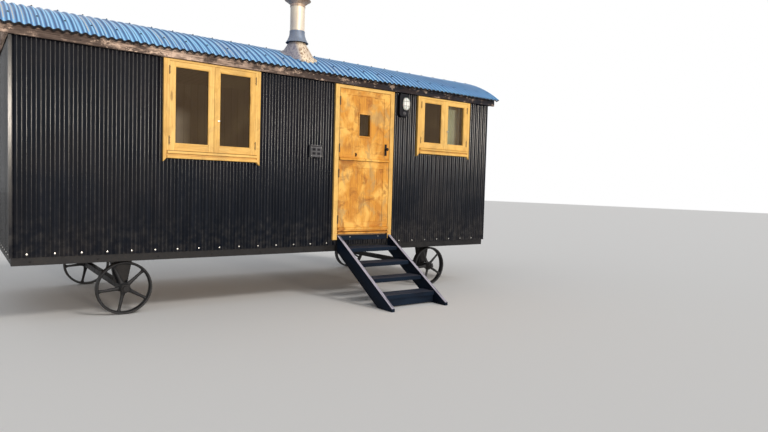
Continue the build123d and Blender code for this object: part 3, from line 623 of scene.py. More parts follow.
class HutLook(PropertyGroup):
    """Sizes and colours that can be changed."""

    pitch: size("Corrugation", "Pitch of the corrugated sheets", 0.0762)
    wave: size("Wave", "Depth of the corrugations", 0.0165)
    gauge: size("Gauge", "Thickness of the sheets", 0.0009)
    lap_rise: size("Lap rise", "Lift of a sheet over its neighbour", 0.0016)
    sheet_pitches: number("Pitches a sheet", "Corrugations that one sheet covers", 9)
    first_crest: size("First crest", "Left end of the hut to its first screwed crest", 0.141)
    screw_pitches: number("Screw pitches", "Corrugations from screw to screw", 3)
    screw_height: size("Screw row", "Height of the wall screws above the ground", 0.66)
    corner_leg: size("Corner angle", "Leg of a corner's folded angle", 0.026)
    roof_radius: size("Roof radius", "Radius of the barrel", 2.1)
    roof_ease: size("Roof ease", "Crests below the frame's barrel", 0.001)
    fascia_thickness: size("Fascia", "Thickness of the fascias", 0.030)
    fascia_joint: size("Fascia joint", "Place of the joint in the front fascia", -0.365)
    frame_proud: size("Frame proud", "Window frames before the cladding", 0.03)
    frame_jamb: size("Window jamb", "Face of a window's jamb", 0.058)
    window_head: size("Window head", "Height of a window's head", 0.022)
    horn_width: size("Side board", "Width of a window's side board", 0.036)
    horn_drop: size("Pointed end", "Its length below the sill", 0.038)
    sill_height: size("Sill", "Height of the whole sill", 0.08)
    sill_board: size("Sill board", "Board under the groove", 0.027)
    sill_groove: size("Sill groove", "Height of the groove", 0.022)
    sash_stile: size("Sash stile", "Width of a sash's stile", 0.057)
    sash_top_rail: size("Sash top rail", "Its height", 0.048)
    sash_bottom_rail: size("Sash bottom rail", "Its height", 0.072)
    sash_gap: size("Sash gap", "Gap between two sashes", 0.002)
    sash_bead: size("Glazing bead", "Width of the bead round a pane", 0.008)
    hinge_length: size("Hinge", "Length of a window hinge", 0.08)
    leaf_thickness: size("Leaf", "Thickness of a door leaf", 0.044)
    door_stile: size("Door stile", "Width of a leaf's stile", 0.092)
    top_rail: size("Top rail", "Height of the door's top rail", 0.07)
    middle_rail: size("Middle rail", "Height of the rails at the split", 0.09)
    bottom_rail: size("Bottom rail", "Height of the bottom rail", 0.12)
    panel_recess: size("Panel recess", "Boards behind the leaf's face", 0.005)
    door_boards: number("Door boards", "Boards across a leaf's panel", 6)
    door_jamb: size("Door jamb", "Face of the door's jamb", 0.062)
    door_head: size("Door head", "Height of the door's head", 0.04)
    door_stop: size("Door stop", "Depth of the rebate", 0.014)
    drip_height: size("Weather bar", "Height of a weather bar", 0.034)
    weather_bar_rise: size("Bar rise", "Lower bar above the leaf's foot", 0.022)
    lite_bead: size("Pane bead", "Width of the bead round the door's pane", 0.016)
    tread_width: size("Wheel tread", "Width of a wheel's rim", 0.076)
    rim_depth: size("Wheel rim", "Depth of a wheel's rim", 0.026)
    spokes: number("Spokes", "Spokes of a wheel", 5)
    spoke_phase: heading("Spoke turn", "Angle of the first spoke", 42)
    curtain_folds: number("Curtain folds", "Folds across the curtain", 6)
    curtain_proud: size("Curtain proud", "How far the cloth bunches past its frame node", 0.019)
    timber_dark: stain("Timber dark", "Dark grain of the stain", (0.40, 0.125, 0.006))
    timber_light: stain("Timber light", "Light grain of the stain", (0.76, 0.36, 0.038))


class CameraLook(PropertyGroup):
    """Where the picture was taken from, and the stage round the hut."""

    place: FloatVectorProperty(
        name="Place", description="Camera's place in the hut's frame", default=(-3.462, -6.853, 1.360),
        subtype="XYZ",
    )
    yaw: heading("Yaw", "Turn from +Y towards +X", 36.451)
    pitch: heading("Pitch", "Tilt below the horizon", 2.683)
    roll: heading("Roll", "Turn about the view", 1.601)
    focal_pixels: FloatProperty(
        name="Focal length", description="In pixels of a picture 768 wide", default=585.0
    )
    floor_tone: FloatProperty(name="Floor tone", description="Grey of the floor", default=0.84)


class HutOperator(Operator):
    """Shared settings of the hut's operators."""

    bl_options = {"REGISTER", "UNDO"}

    @property
    def look(self):
        return bpy.context.scene.hut_look


class HUT_OT_wall_sheets(HutOperator):
    """Corrugated sheets on the four walls, lapped side by side and cut round the openings"""

    bl_idname = "hut.wall_sheets"
    bl_label = "Wall sheets"

    def wall(self, name, ends, heights, face, holes=(), replaces=()):
        """One wall: a sheet stands out by its wave plus a slope that lifts its lap, and has a row of screws.

        face(distance, out, z) turns the wall's own parameters into points."""
        look = self.look
        crest, end_gap, low_hole = ends[0] + look.first_crest, 0.03, 0.2
        cuts = [edge for _, sides in holes for edge in sides if edge < heights[1]]
        cut_off = look.pitch / 2 + 0.4 * look.sheet_pitches * look.pitch
        first = ends[0] + look.first_crest % look.pitch - cut_off

        def place(u, v, share):
            return face(u, wave_height(look, u - crest) + look.lap_rise * share, v)

        levels = rimmed([*heights, *cuts])
        lapped(look, name, ends, first, crest, levels, holes, place, "black_sheet", replaces)
        crests = crest + look.pitch * np.arange(0, 100, look.screw_pitches)
        crests = crests[crests < ends[1] - end_gap]
        for (near, far), (bottom, _) in holes:
            if bottom < look.screw_height + low_hole:
                crests = crests[(crests < near) | (crests > far)]
        out, row = look.wave / 2 + 0.0005, np.full_like(crests, look.screw_height)
        spots = face(crests, out, row)
        ahead = face(crests, out + 1, row) - spots
        screws(name + "_screws", list(zip(spots, ahead)), 0.0085, 0.006, "screw_steel", "black_sheet")

    def corners(self):
        """Folded angles at the four corners, and their rivets."""
        low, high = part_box("corner_trims")
        leg, thick = self.look.corner_leg, 0.0016
        boards, places = [], []
        for x, way in ((low.x, 1), (high.x, -1)):
            for y, side in ((low.y, 1), (high.y, -1)):
                for far_x, far_y in ((leg, thick), (thick, leg)):
                    ends = np.array([[x, y], [x + way * far_x, y + side * far_y]])
                    boards.append(((*ends.min(0), low.z), (*ends.max(0), high.z), "Z"))
                for z in np.linspace(low.z + 0.05, high.z - 0.06, 6):
                    places.append(((x, y + side * leg / 2, z), (-way, 0, 0)))
                    places.append(((x + way * leg / 2, y, z + 0.04), (0, -side, 0)))
        boarded("corner_angles", boards, 43, "black_sheet", bevel=0.0006, replaces=("corner_trims",))
        screws("corner_rivets", places, 0.0045, 0.0016, "black_iron", "black_sheet")

    def execute(self, context):
        look = self.look
        cut_gap = 0.0005
        holes = []
        for name, rise in (("large_window_frame", look.horn_drop), ("small_window_frame", look.horn_drop),
                           ("door_frame", 0)):
            low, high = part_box(name)
            holes.append(((low.x - cut_gap, high.x + cut_gap), (low.z + rise, CLAD_HIGH.z + 1)))
        front = (CLAD_LOW.y + CLAD_HIGH.y) / 2
        self.wall(
            "front_sheets", (CLAD_LOW.x, CLAD_HIGH.x), (CLAD_LOW.z, CLAD_HIGH.z),
            lambda u, out, v: np.stack([u, front - out + 0 * u, v], -1), holes, ("front_cladding",),
        )
        low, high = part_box("back_cladding")
        back = (low.y + high.y) / 2
        self.wall(
            "back_sheets", (low.x, high.x), (low.z, high.z),
            lambda u, out, v: np.stack([low.x + high.x - u, back + out + 0 * u, v], -1),
            replaces=("back_cladding",),
        )
        end_low, end_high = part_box("end_cladding")
        depth = look.wave / 2 + 0.001
        for name, side, replaces in (("left_sheets", -1, ("end_cladding",)), ("right_sheets", 1, ())):
            base = (end_high.x if side > 0 else end_low.x) - side * depth
            self.wall(
                name, (end_low.y, end_high.y), (end_low.z, end_high.z),
                lambda u, out, v: np.stack(
                    [base + side * out + 0 * u, CENTRE_Y + side * (u - CENTRE_Y), v], -1
                ),
                replaces=replaces,
            )
        self.corners()
        return {"FINISHED"}


class HUT_OT_roof(HutOperator):
    """Corrugated sheets bent over the barrel, screws, sawn fascias and gable boards"""

    bl_idname = "hut.roof"
    bl_label = "Roof"

    def execute(self, context):
        look = self.look
        radius = look.roof_radius - look.wave / 2 - look.roof_ease
        axis = ROOF_HIGH.z - look.roof_radius
        half = np.arcsin((ROOF_HIGH.y - CENTRE_Y) / look.roof_radius)
        end_gap, shade_strip_gap, shade_strip_height, shade_strip_width = 0.0012, 0.0012, 0.015, 0.012
        start, stop = ROOF_LOW.x + end_gap, ROOF_HIGH.x - end_gap

        def bent(u, v, share):
            out = radius + wave_height(look, u - ROOF_LOW.x) - look.lap_rise * (1 - share)
            return np.stack([u, CENTRE_Y + out * np.sin(v), axis + out * np.cos(v)], -1)

        rows, drawn_in = 37, 0.0008
        levels = rimmed([-half, half], np.linspace(-half, half, rows))
        lapped(look, "roof_waves", (start, stop), start, ROOF_LOW.x, levels, [], bent, "roof_blue",
               ("roof_sheets",))
        waves, first_screw = 84, 2
        crests = ROOF_LOW.x + look.pitch * np.arange(first_screw, waves, look.screw_pitches)
        places = []
        for angle in np.radians([-30.3, -16, 0, 16, 30.3]):
            out = look.roof_radius - drawn_in
            spot = (CENTRE_Y + out * sin(angle), axis + out * cos(angle))
            places += [((x, *spot), (0, sin(angle), cos(angle))) for x in crests]
        screws("roof_screws", places, 0.011, 0.008, "black_iron", "roof_blue")
        along = np.linspace(start + 0.002, stop - 0.002, waves * 12)
        # Painted shade: black strips under each eave edge follow the corrugations and stand in for the shade
        # beneath the sheets.
        for name, side, edge in (("front_shade_strip", -1, ROOF_LOW.y), ("back_shade_strip", 1, ROOF_HIGH.y)):
            y = edge - side * 0.0015

            def hung(u, v):
                z = roof_height(look, u, y) - shade_strip_gap - shade_strip_height * v
                return np.stack([u, y + 0 * u, z], -1)

            mesh = fill(name, *holed_grid(along, [0.0, 1.0], [], hung))
            piece(name, mesh, "black_iron", "roof_blue", thickness=side * shade_strip_width)
        self.timber()
        return {"FINISHED"}

    def timber(self):
        """Fascias in two lengths with a joint and nails, and the round-topped gable boards."""
        low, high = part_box("fascias")
        thick, gap, back_joint, nail_pitch = self.look.fascia_thickness, 0.0012, 0.4, 0.61
        boards = []
        for front, joint in ((low.y, self.look.fascia_joint), (high.y - thick, back_joint)):
            boards.append(((low.x, front, low.z), (joint - gap, front + thick, high.z), "X"))
            boards.append(((joint + gap, front, low.z), (high.x, front + thick, high.z), "X"))
        boarded("fascia_boards", boards, 41, "fascia_timber", bevel=0.002, replaces=("fascias",))
        places = []
        for x in np.arange(low.x + 0.06, high.x, nail_pitch):
            for z in (low.z + 0.028, high.z - 0.034):
                places += [((x, low.y, z), TO_FRONT), ((x + 0.01, high.y, z), (0, 1, 0))]
        screws("fascia_nails", places, 0.0045, 0.002, "black_iron", "fascia_timber")
        eased("gable_boards", 0.002, lengthwise=(0, 1, 0))


class HUT_OT_windows(HutOperator):
    """Timber casement windows: grooved sills, pointed side boards, jointed sashes and beads"""

    bl_idname = "hut.windows"
    bl_label = "Windows"

    def frame(self, label, seed):
        """Frame boards: side trims with pointed ends, jambs, head and a sill in three bands."""
        look = self.look
        low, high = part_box(f"{label}_window_frame")
        front, jamb = CLAD_LOW.y - look.frame_proud, look.frame_jamb
        bottom = low.z + look.horn_drop
        board, groove = bottom + look.sill_board, bottom + look.sill_board + look.sill_groove
        sill_top = bottom + look.sill_height
        left, right = low.x + look.horn_width, high.x - look.horn_width
        rise, slope = np.array([0, 0, look.horn_drop]), np.array([0, 0, -0.006])
        boards = [
            ((low.x, front, low.z), (left, high.y, high.z), "Z", {4: rise, 6: rise}),
            ((right, front, low.z), (high.x, high.y, high.z), "Z", {0: rise, 2: rise}),
            ((left, front, sill_top), (low.x + jamb, high.y, high.z), "Z"),
            ((high.x - jamb, front, sill_top), (right, high.y, high.z), "Z"),
            ((low.x + jamb, front, high.z - look.window_head), (high.x - jamb, high.y, high.z), "X"),
            ((left, low.y, groove), (right, high.y, sill_top), "X", {1: slope, 5: slope}),
            ((left, front + 0.012, board), (right, high.y, groove), "X"),
            ((left, low.y + 0.008, bottom), (right, high.y, board), "X"),
        ]
        boarded(f"{label}_window_frame_boards", boards, seed, "frame_timber", "stained_timber",
                bevel=0.0018, replaces=(f"{label}_window_frame",))

    def sashes(self, label, seed):
        """Two sashes: stiles that run through, rails between them and a bead round each pane."""
        look = self.look
        low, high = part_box(f"{label}_window_sashes")
        middle, half_gap, bead = (low.x + high.x) / 2, look.sash_gap / 2, look.sash_bead
        bead_front, bead_back = low.y + 0.004, low.y + 0.017
        floor, head = low.z + look.sash_bottom_rail, high.z - look.sash_top_rail
        boards = []
        for near, far in ((low.x, middle - half_gap), (middle + half_gap, high.x)):
            left, right = near + look.sash_stile, far - look.sash_stile
            light = (left, right, floor, head)
            inner = (left + bead, right - bead, floor + bead, head - bead)
            boards += framing((near, far, low.z, high.z), light, low.y, high.y)
            boards += framing(light, inner, bead_front, bead_back)
        boarded(f"{label}_window_sash_boards", boards, seed, "frame_timber", "stained_timber",
                bevel=0.0018, replaces=(f"{label}_window_sashes",))

    def fittings(self, label):
        """Butt hinges on the outer stiles, with ball tips and screws, and a knob on the meeting stile."""
        look = self.look
        low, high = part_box(f"{label}_window_sashes")
        front = CLAD_LOW.y - look.frame_proud
        pin, half, screw_out, screw_rise = 0.0045, look.hinge_length / 2, 0.009, 0.026
        profile = [
            (0, half + 0.006), (pin * 0.7, half + 0.005), (pin, half + 0.002), (pin * 0.6, half),
            (pin, half - 0.001), (pin, 0.0004), (pin * 0.85, 0),
        ]
        profile += [(r, -h) for r, h in reversed(profile)]
        parts, places = [], []
        for x, way in ((low.x, 1), (high.x, -1)):
            for z in (low.z + 0.105, high.z - 0.090):
                parts.append(lathe(profile, (x, front - pin * 0.6, z), 14))
                for rise in (-screw_rise, screw_rise):
                    places.append(((x + way * screw_out, front - 0.0003, z + rise), TO_FRONT))
        turned(f"{label}_window_hinges", joined(parts), "hinge_metal", "stained_timber")
        screws(f"{label}_window_hinge_screws", places, 0.0032, 0.0012, "hinge_metal", "stained_timber")
        knob = [(0, 0.022), (0.006, 0.021), (0.009, 0.017), (0.008, 0.013), (0.004, 0.010), (0.004, 0.004),
                (0.011, 0.003), (0.012, 0.0), (0, -0.001)]
        spot = ((low.x + high.x) / 2 + 0.053, front, low.z + 0.375 * (high.z - low.z))
        shape = copies(lathe(knob, turns=18), [(spot, TO_FRONT)])
        turned(f"{label}_window_knob", shape, "screw_steel", "stained_timber")

    def execute(self, context):
        for seed, label in ((11, "large"), (21, "small")):
            self.frame(label, seed)
            self.sashes(label, seed + 1)
            self.fittings(label)
        return {"FINISHED"}


class HUT_OT_door(HutOperator):
    """Stable door: frame, threshold and two framed leaves of narrow boards"""

    bl_idname = "hut.door"
    bl_label = "Door"

    def leaf(self, label, top_rail, bottom_rail, bar, lite=None, seed=1):
        """One leaf: stiles, rails, a panel of boards with open joints, and its weather bar."""
        look = self.look
        low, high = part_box(label)
        front, back = high.y - look.leaf_thickness, high.y
        face, rear, joint = front + look.panel_recess, back - 0.004, 0.0004
        left, right = low.x + look.door_stile, high.x - look.door_stile
        floor, head = low.z + bottom_rail, high.z - top_rail
        boards = framing((low.x, high.x, low.z, high.z), (left, right, floor, head), front, back)
        edges = np.linspace(left, right, look.door_boards + 1)
        for start, stop in zip(edges[:-1], edges[1:]):
            spans = [(floor, head)]
            if lite and start < lite[1] and stop > lite[0]:
                spans = [(floor, lite[2]), (lite[3], head)]
                if start < lite[0] - 0.002:
                    boards.append(((start, face, lite[2]), (lite[0], rear, lite[3]), "Z"))
                if stop > lite[1] + 0.002:
                    boards.append(((lite[1], face, lite[2]), (stop, rear, lite[3]), "Z"))
            boards += [((start + joint, face, a), (stop - joint, rear, b), "Z") for a, b in spans]
        slope = np.array([0, 0, -0.012])
        bar_top = (high.x, front, bar + look.drip_height)
        boards.append(((low.x, low.y, bar), bar_top, "X", {1: slope, 5: slope}))
        if lite:
            around = np.array(lite) + look.lite_bead * np.array([-1, 1, -1, 1])
            boards += framing(around, lite, front - 0.004, face)
        boarded(label + "_boards", boards, seed, "stained_timber", body=label, bevel=0.0022,
                replaces=(label,))

    def execute(self, context):
        look = self.look
        pane_low, pane_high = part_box("upper_leaf_pane")
        lite = (pane_low.x, pane_high.x, pane_low.z, pane_high.z)
        lower_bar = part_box("lower_leaf")[0].z + look.weather_bar_rise
        self.leaf("upper_leaf", look.top_rail, look.middle_rail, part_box("upper_leaf")[0].z, lite, 31)
        self.leaf("lower_leaf", look.middle_rail, look.bottom_rail, lower_bar, seed=32)
        low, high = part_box("door_frame")
        sill_low, sill_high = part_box("door_threshold")
        floor, head, stop = sill_low.z, high.z - look.door_head, look.door_stop
        left, right = low.x + look.door_jamb, high.x - look.door_jamb
        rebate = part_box("upper_leaf")[1].y + 0.005
        boards = [
            ((low.x, low.y, floor), (left, high.y, high.z), "Z"),
            ((right, low.y, floor), (high.x, high.y, high.z), "Z"),
            ((low.x, low.y, low.z), (left, CLAD_HIGH.y, floor), "Z"),
            ((right, low.y, low.z), (high.x, CLAD_HIGH.y, floor), "Z"),
            ((left, low.y, head), (right, high.y, high.z), "X"),
            ((left, rebate, floor), (left + stop, high.y, head), "Z"),
            ((right - stop, rebate, floor), (right, high.y, head), "Z"),
            ((left + stop, rebate, head - stop), (right - stop, high.y, head), "X"),
        ]
        boarded("door_frame_boards", boards, 33, "frame_timber", "stained_timber", bevel=0.0018,
                replaces=("door_frame",))
        slope = np.array([0, 0, -0.005])
        boards = [(tuple(sill_low), tuple(sill_high), "X", {1: slope, 5: slope})]
        boarded("door_sill_board", boards, 34, "stained_timber", bevel=0.002, replaces=("door_threshold",))
        self.ironwork()
        return {"FINISHED"}

    def ironwork(self):
        """Hinges, the turn knob on its plate, the small pull, and the screws of both."""
        for name, body in (("frame", "hut"), ("upper_leaf", "upper_leaf"), ("lower_leaf", "lower_leaf")):
            eased(name + "_hinges", 0.0006, body)
        low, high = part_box("door_handle")
        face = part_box("upper_leaf")[1].y - self.look.leaf_thickness
        plate_low, plate_high, half, thick = low.z + 0.033, high.z, 0.016, 0.009
        centre = high.x - 0.020
        pull_width, pull_height, pull_thick = 0.020, 0.046, 0.005
        pull_x = low.x + pull_width / 2
        boards = [
            ((centre - half, face - thick, plate_low), (centre + half, face, plate_high), "Z"),
            ((low.x, face - pull_thick, low.z), (low.x + pull_width, face, low.z + pull_height), "Z"),
        ]
        boarded("door_plates", boards, 35, "black_iron", body="upper_leaf", replaces=("door_handle",),
                bevel=0.0025)
        knob = [(0, 0.046), (0.010, 0.0455), (0.017, 0.042), (0.020, 0.037), (0.020, 0.033), (0.016, 0.028),
                (0.009, 0.025), (0.008, 0.012), (0.012, 0.006), (0.015, 0.003), (0.015, 0.0), (0, -0.001)]
        small = [(0, 0.018), (0.005, 0.0175), (0.008, 0.014), (0.007, 0.010), (0.004, 0.007), (0.004, 0.0),
                 (0, -0.001)]
        knob_spot = (centre, face - thick, plate_low + 0.084)
        pull_spot = (pull_x, face - pull_thick, low.z + pull_height / 2)
        parts = [
            copies(lathe(knob, turns=28), [(knob_spot, TO_FRONT)]),
            copies(lathe(small, turns=18), [(pull_spot, TO_FRONT)]),
            ring((centre, face - thick - 0.0005, plate_low + 0.032), 0.0042, 0.0014, "Y", 18, 6),
        ]
        turned("door_knobs", joined(parts), "black_iron", body="upper_leaf")
        spots = [(centre, face - thick, z) for z in (plate_low + 0.010, plate_high - 0.010)]
        spots += [(pull_x, face - pull_thick, z) for z in (low.z + 0.006, low.z + 0.040)]
        places = [(spot, TO_FRONT) for spot in spots]
        screws("door_plate_screws", places, 0.0034, 0.0014, "black_iron", body="upper_leaf")


class HUT_OT_steps(HutOperator):
    """Open steps: worn stringers, four treads, a kicking board and the ledger under the door"""

    bl_idname = "hut.steps"
    bl_label = "Steps"

    def execute(self, context):
        low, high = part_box("stair_stringers")
        eased("stair_stringers", 0.003, lengthwise=(0, high.y - low.y, high.z - low.z - 0.05))
        eased("stair_treads", 0.0035, lengthwise=(1, 0, 0))
        eased("stair_boards", 0.003, lengthwise=(1, 0, 0))
        front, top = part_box("door_frame")[0].y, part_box("stair_boards")[1].z
        places = [((low.x + shift, front, top - 0.022), TO_FRONT) for shift in (0.19, 0.63)]
        screws("ledger_screws", places, 0.006, 0.003, "screw_steel", "stair_paint")
        places = []
        tread_low, tread_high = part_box("stair_treads")
        run, climb = tread_high.y - tread_low.y - 0.22, tread_high.z - tread_low.z - 0.045
        for share in np.linspace(0, 1, 4):
            y, z = tread_low.y + 0.10 + share * run, tread_low.z + 0.022 + share * climb
            for step in (0, 0.08):
                places += [((low.x, y + step, z), (-1, 0, 0)), ((high.x, y + step, z), (1, 0, 0))]
        screws("stringer_screws", places, 0.006, 0.003, "black_iron", "stair_paint")
        return {"FINISHED"}


class HUT_OT_flue(HutOperator):
    """Stove flue: pipe, cowl, flared storm collar, boot and its dressed flashing"""

    bl_idname = "hut.flue"
    bl_label = "Flue"

    def skirt(self, centre, top_radius, top, slope):
        """Boot and flashing: a cone down to the roof, then a lip that follows the corrugations.

        At angle a the cone's radius grows by its slope down to where its height meets the roof's. Past
        that foot the points follow the corrugated roof, lifted just clear of it."""
        look, lift, start_out = self.look, 0.0022, 0.1
        angle = np.linspace(0, 2 * pi, 96, endpoint=False)
        foot = np.full_like(angle, top_radius + start_out)
        for _ in range(40):
            y = centre[1] + foot * np.sin(angle)
            roof = ROOF_HIGH.z - look.roof_radius + np.sqrt(look.roof_radius**2 - (y - CENTRE_Y) ** 2)
            foot = 0.5 * foot + 0.5 * (top_radius + (top - roof) / slope)
        radii = list(top_radius + np.linspace(0, 1, 9)[:, None] * (foot - top_radius))
        heights = [top - (radius - top_radius) * slope for radius in radii]
        for step in (0.006, 0.014, 0.024, 0.034):
            radius = foot + step
            x, y = centre[0] + radius * np.cos(angle), centre[1] + radius * np.sin(angle)
            radii.append(radius)
            heights.append(roof_height(look, x, y, lift))
        radii = np.array(radii)
        points = facing("Z", (radii * np.cos(angle), radii * np.sin(angle), np.array(heights)), (*centre, 0))
        return points, grid_faces(len(radii), len(angle), closed_columns=True)

    def execute(self, context):
        low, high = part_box("flue_pipe")
        centre = ((low.x + high.x) / 2, (low.y + high.y) / 2)
        radius, at, wall = (high.x - low.x) / 2, (*centre, 0), 0.002
        pipe = [(radius, low.z), (radius, high.z), (radius - wall, high.z), (radius - wall, low.z),
                (radius, low.z)]
        turned("flue_tube", lathe(pipe, at, 96), "flue_steel", replaces=("flue_pipe",))
        collar_low, collar_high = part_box("storm_collar")
        base, top = collar_low.z, collar_high.z
        rim, neck, bore = (collar_high.x - collar_low.x) / 2, radius + 0.0035, radius + 0.0004
        outer = [(neck + (rim - neck) * (1 - share) ** 2.1, base + share * (top - base))
                 for share in np.linspace(0, 1, 25)]
        inner = [(r - wall, z) for r, z in outer if r > radius + 0.004]
        bead = [(rim + 0.0005, base + 0.003), (rim + 0.0008, base + 0.0005), (rim - 0.0015, base - 0.0006)]
        band = [(neck, top), (neck + wall, top - 0.001), (neck + wall, top - 0.018), (neck, top - 0.019)]
        profile = [(bore, top), *band, *outer[-4::-1], *bead, *inner, (bore, base + 0.05), (bore, top)]
        turned("collar_flare", lathe(profile, at, 96), "collar_steel", "flue_steel",
               replaces=("storm_collar",))
        clip = [((centre[0] + radius + 0.012, centre[1], top - 0.0095), (0, 1, 0))]
        screws("collar_bolt", clip, 0.006, 0.012, "screw_steel", "flue_steel")
        boot_gap, boot_slope = 0.010, 143 / 86
        boot = self.skirt(centre, radius + boot_gap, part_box("flue_boot")[1].z, boot_slope)
        turned("flue_skirt", boot, "boot_steel", "flue_steel", replaces=("flue_boot",), thickness=0.0015)
        self.cowl(centre, radius, high.z)
        return {"FINISHED"}

    def cowl(self, centre, radius, top):
        """Sleeve that flares up to a rolled rim, four bent straps and a lid with a turned-down edge."""
        at = (*centre, 0)
        low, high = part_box("flue_cowl")
        rim, lid, edge, bore = (high.x - low.x) / 2, high.z, 0.150, radius + 0.0006
        neck = radius + 0.004
        wall = [(neck + (rim - radius - 0.006) * share**1.12, top + 0.052 * share)
                for share in np.linspace(0, 1, 13)]
        back = [(r - 0.003, z + 0.0015) for r, z in reversed(wall[1:])]
        roll = [(rim - 0.001, top + 0.0505), (rim - 0.0003, top + 0.0525), (rim - 0.0015, top + 0.0545),
                (rim - 0.0045, top + 0.054)]
        sleeve = [(bore, top - 0.030), (neck, top - 0.030), (radius + 0.0045, top - 0.027),
                  (neck, top - 0.024)]
        cover = [(0, lid), (0.10, lid - 0.0006), (edge - 0.004, lid - 0.0018), (edge, lid - 0.005),
                 (edge, lid - 0.010), (edge - 0.002, lid - 0.010), (edge - 0.0025, lid - 0.006),
                 (0, lid - 0.004)]
        profile = sleeve + wall + roll + back + [(bore, top + 0.001), (bore, top - 0.030)]
        parts = [lathe(profile, at, 96), lathe(cover, at, 96)]
        turned("cowl_sheets", joined(parts), "cowl_steel", "flue_steel", replaces=("flue_cowl",))
        boards, places = [], []
        upright = ((0.0925, 0.0965), (top + 0.008, lid - 0.0045))
        foot = ((0.0965, 0.135), (lid - 0.0085, lid - 0.0045))
        for quarter in range(4):
            way = np.array([cos(quarter * pi / 2), sin(quarter * pi / 2)])
            half_width = 0.013 * np.abs(way[::-1])
            for reach, heights in (upright, foot):
                ends = np.array(centre) + np.outer(reach, way)
                near, far = ends.min(0) - half_width, ends.max(0) + half_width
                boards.append(((*near, heights[0]), (*far, heights[1]), "Z"))
            places.append(((*(np.array(centre) + 0.118 * way), lid - 0.0003), (0, 0, 1)))
        boarded("cowl_straps", boards, 51, "cowl_steel", "flue_steel", bevel=0.001)
        screws("cowl_rivets", places, 0.005, 0.0001, "cowl_steel", "flue_steel")


class HUT_OT_running_gear(HutOperator):
    """Cast wheels with tapered spokes, axles, hangers and the chassis, with their bolts"""

    bl_idname = "hut.running_gear"
    bl_label = "Running gear"

    def wheel(self, name, outward):
        """One wheel about its axle: rounded rim and hub turned on a lathe, oval spokes between them.

        A spoke's section is an ellipse that narrows from hub to rim, with a flare at either end."""
        look = self.look
        low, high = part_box(name)
        centre = np.array([(low.x + high.x) / 2, (low.y + high.y) / 2, (low.z + high.z) / 2])
        radius, hub, tread = (high.x - low.x) / 2, (high.y - low.y) / 2, look.tread_width / 2
        inside = radius - look.rim_depth
        face = [(inside, 0.0), (inside, 0.022), (inside + 0.005, tread - 0.003), (inside + 0.010, tread),
                (radius - 0.005, tread), (radius, tread - 0.005), (radius, 0.0)]
        rim_profile = face + [(r, -h) for r, h in reversed(face[1:-1])] + face[:1]
        half = [(0.054, 0.0), (0.054, hub - 0.030), (0.050, hub - 0.024), (0.044, hub - 0.018),
                (0.043, hub - 0.004), (0.040, hub), (0.0305, hub)]
        hub_profile = half + [(r, -h) for r, h in reversed(half[1:])] + half[:1]
        parts = [lathe(rim_profile, centre, 128, "Y"), lathe(hub_profile, centre, 56, "Y")]
        rows, sides, root = 17, 20, 0.050
        along = np.linspace(0, 1, rows)[:, None]
        turn = np.linspace(0, 2 * pi, sides, endpoint=False)[None, :]
        flare = 0.010 * np.exp(-along / 0.07) + 0.014 * np.exp(-(1 - along) / 0.06)
        reach = (root + along * (inside + 0.002 - root))[..., None]
        wide = ((0.0195 - 0.0065 * along + flare) * np.cos(turn))[..., None]
        deep = ((0.0130 - 0.0030 * along + 0.6 * flare) * np.sin(turn))[..., None]
        for angle in look.spoke_phase + 2 * pi * np.arange(look.spokes) / look.spokes:
            out, side = np.array([cos(angle), 0, sin(angle)]), np.array([-sin(angle), 0, cos(angle)])
            shape = centre + reach * out + wide * side + deep * np.array([0, 1.0, 0])
            ends = [shape[[row]].mean(1, keepdims=True).repeat(sides, 1) for row in (0, -1)]
            points = np.concatenate([ends[0], shape, ends[1]]).reshape(-1, 3)
            parts.append((points, grid_faces(rows + 2, sides, closed_columns=True)))
        turned(name + "_casting", joined(parts), "cast_wheel", body=name, replaces=(name,), smooth=40.0)
        places, studs, stud_circle = [], 6, 0.0355
        for angle in 2 * pi * np.arange(studs) / studs:
            spot = centre + (stud_circle * cos(angle), outward * hub, stud_circle * sin(angle))
            places.append((spot, (0, outward, 0)))
        screws(name + "_studs", places, 0.0042, 0.0004, "cast_wheel", body=name)

    def execute(self, context):
        for side in ("left", "right"):
            for end, outward in (("front", -1), ("back", 1)):
                self.wheel(f"wheel_{side}_{end}", outward)
        for name in ("chassis_frame", "axles", "axle_hangers"):
            eased(name, 0.0015)
        low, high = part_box("chassis_frame")
        places, bolt_pitch, bolt_z = [], 0.5747, low.z + 0.035
        for x in np.arange(low.x + 0.15, high.x, bolt_pitch):
            places += [((x, low.y, bolt_z), TO_FRONT), ((x, high.y, bolt_z), (0, 1, 0))]
        screws("chassis_bolts", places, 0.013, 0.007, "chassis_black")
        low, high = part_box("axle_hangers")
        places, bolt_out, bolt_z = [], 0.045, 0.50
        for wheel in ("wheel_left_front", "wheel_right_front"):
            axle_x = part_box(wheel)[0].x + 0.27
            for y, way in ((low.y, -1), (high.y, 1)):
                for step in (-bolt_out, bolt_out):
                    places.append(((axle_x + step, y, bolt_z), (0, way, 0)))
        screws("hanger_bolts", places, 0.010, 0.006, "chassis_black")
        return {"FINISHED"}


